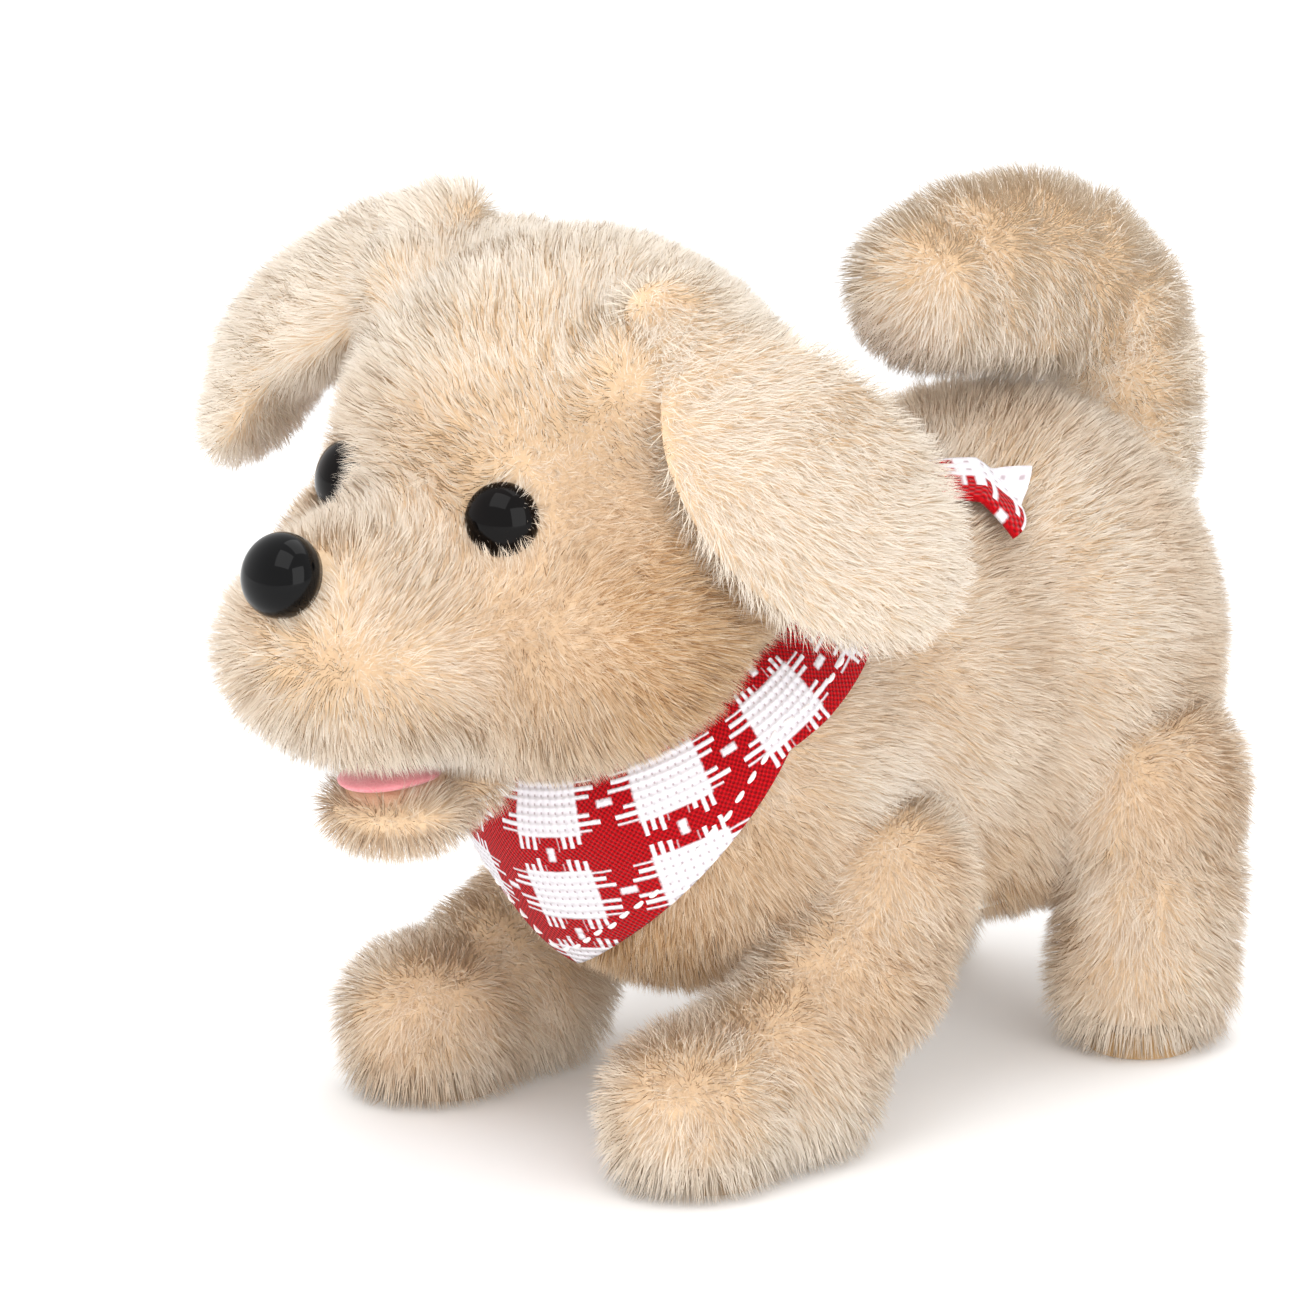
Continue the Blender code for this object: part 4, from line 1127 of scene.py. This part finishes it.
def build_knot():
    """The creased knot behind the neck."""
    bm = bmesh.new()
    layer = bm.loops.layers.uv.new("cloth")
    bmesh.ops.create_uvsphere(bm, u_segments=48, v_segments=32, radius=1)
    for vert in bm.verts:
        x, y, z = vert.co
        crease = 1 - 0.16 * math.exp(-(math.sin(3 * math.atan2(z, y) + 2.2 * x) / 0.35) ** 2)
        spread = Vector([radius * share * crease for radius, share in zip(KNOT_RADII, (x, y, z))])
        vert.co = Vector(place(Vector(KNOT_CENTRE) + spread))
    for face in bm.faces:
        for loop in face.loops:
            x, y, z = (np.array(loop.vert.co) - np.array(ORIGIN)) / MM
            loop[layer].uv = (x / 27 + 0.3, (y + z) / 20)
    knot = object_of("bandana_knot_cloth", bm)
    finish_piece(knot, "torso", COTTON, "checked_cotton", "bandana_knot")
    return knot


def build_tie_end(side, word):
    """A tie end that comes out from under the knot, lies on the back and widens to its tip."""
    start, end, wide = (Vector((side * spot[0], *spot[1:])) for spot in (TIE_START, TIE_END, TIE_WIDE))

    def spot(row_share, column_share):
        middle = start.lerp(end, row_share) + wide * (column_share - 0.5) * (1 + 1.4 * row_share)
        bulge = 1 - (2 * column_share - 1) ** 2
        middle += (end - start).normalized() * 3 * bulge * row_share ** 3
        ripple = 0.4 * math.sin(5 * column_share + 4 * row_share)
        out = min(max((row_share - 0.55) / 0.2, 0), 1)
        lift = 5.2 * out - 4 + ripple + 0.6 * row_share ** 3
        return on_body((middle - Vector(CHEST[0])).normalized(), lift)

    def uv(row_share, column_share):
        return (0.12 + column_share * 0.36, 1.81 + row_share * 1.4)

    tie = cloth_grid("tie_end_" + word, 60, 16, spot, uv)
    finish_piece(tie, "torso", COTTON, "checked_cotton")
    return tie


# ---- the plastic and metal inside
def finish_inner_nodes():
    looks = {
        "steel": moulded("drawn_steel", srgb(196, 197, 201), 0.32, 1, 1500, 0.08),
        "brass": moulded("machined_brass", srgb(208, 170, 98), 0.3, 1, 1500, 0.08),
        "green_board": moulded("solder_mask", srgb(24, 104, 58), 0.35, 0, 500, 0.2, 300),
        "cell_wrap": moulded("cell_sleeve", srgb(46, 50, 56), 0.3, 0, 400, 0.15),
        "sole_rubber": moulded("grip_rubber", srgb(176, 142, 100), 0.85, 0, 1100, 0.15),
        "grey_plastic": moulded("grey_moulding", srgb(98, 100, 104), 0.5),
        "white_plastic": moulded("white_moulding", srgb(228, 227, 222), 0.45),
    }
    slots = {part["node"]: part["material_slot"] for part in frame["record"]["subparts"]}
    for name, obj in frame["nodes"].items():
        if not obj.hide_render and slots.get(name) in looks:
            obj.data.materials.clear()
            obj.data.materials.append(looks[slots[name]])


# ---- studio
CAMERA_TURN, CAMERA_RISE, CAMERA_AWAY = 47, 15, 1.4
CAMERA_TARGET = (0, 35, 100)
CAMERA_LENS = 196


def aimed(name, data, azimuth, elevation, away):
    """A camera or lamp at so many metres from the puppy, in a direction given in degrees, facing it."""
    turn, rise = math.radians(azimuth), math.radians(elevation)
    outward = Vector((math.sin(turn) * math.cos(rise), -math.cos(turn) * math.cos(rise), math.sin(rise)))
    obj = linked(name, data)
    obj.location = Vector(place(CAMERA_TARGET)) + outward * away
    obj.rotation_mode = "QUATERNION"
    obj.rotation_quaternion = (-outward).to_track_quat("-Z", "Y")
    return obj


def lamp(name, azimuth, elevation, away, size, power, direct=True):
    """A square lamp; one that isn't direct casts no shadow and shows in no gloss."""
    data = bpy.data.lights.new(name, "AREA")
    data.shape = "SQUARE"
    data.size = size
    data.energy = power
    data.use_shadow = direct
    aimed(name, data, azimuth, elevation, away).visible_glossy = direct


def build_studio():
    camera = aimed("camera", bpy.data.cameras.new("camera"), CAMERA_TURN, CAMERA_RISE, CAMERA_AWAY)
    camera.data.lens = CAMERA_LENS
    camera.data.clip_end = 50
    bpy.context.scene.camera = camera

    bm = bmesh.new()
    bmesh.ops.create_grid(bm, x_segments=8, y_segments=8, size=6)
    floor = object_of("floor", bm)
    floor.location.z = CAD_BOX[0].z - 0.0002
    paper, tree, shader = material("pale_paper", 0.9, Specular_IOR_Level=0.1)
    colour = blend_colour(tree, noise(tree, 3), srgb(247, 247, 247), srgb(252, 252, 252))
    tree.links.new(colour, shader.inputs["Base Color"])
    floor.data.materials.append(paper)

    lamp("key", 15, 55, 1.5, 1, 5.5)
    lamp("fill", 75, 18, 1.8, 1.4, 13)
    lamp("soft_front", 35, 2, 1.8, 1.4, 10.5, False)
    lamp("soft_left", -40, 20, 1.8, 1.4, 7, False)
    lamp("top", 180, 70, 1.6, 1.2, 7)
    world = bpy.data.worlds.new("studio")
    world.use_nodes = True
    world.node_tree.nodes["Background"].inputs[0].default_value = (1, 1, 1, 1)
    world.node_tree.nodes["Background"].inputs[1].default_value = 1
    bpy.context.scene.world = world
    bpy.context.scene.view_settings.view_transform = "Standard"


build_studio()
build_body()
build_head()
build_ears()
build_tail()
build_jaw()
build_tongue()
build_legs()
build_buttons()
scarf, stitches = build_bandana()
knot = build_knot()
tie_ends = [build_tie_end(side, word) for side, word in SIDES]
finish_inner_nodes()
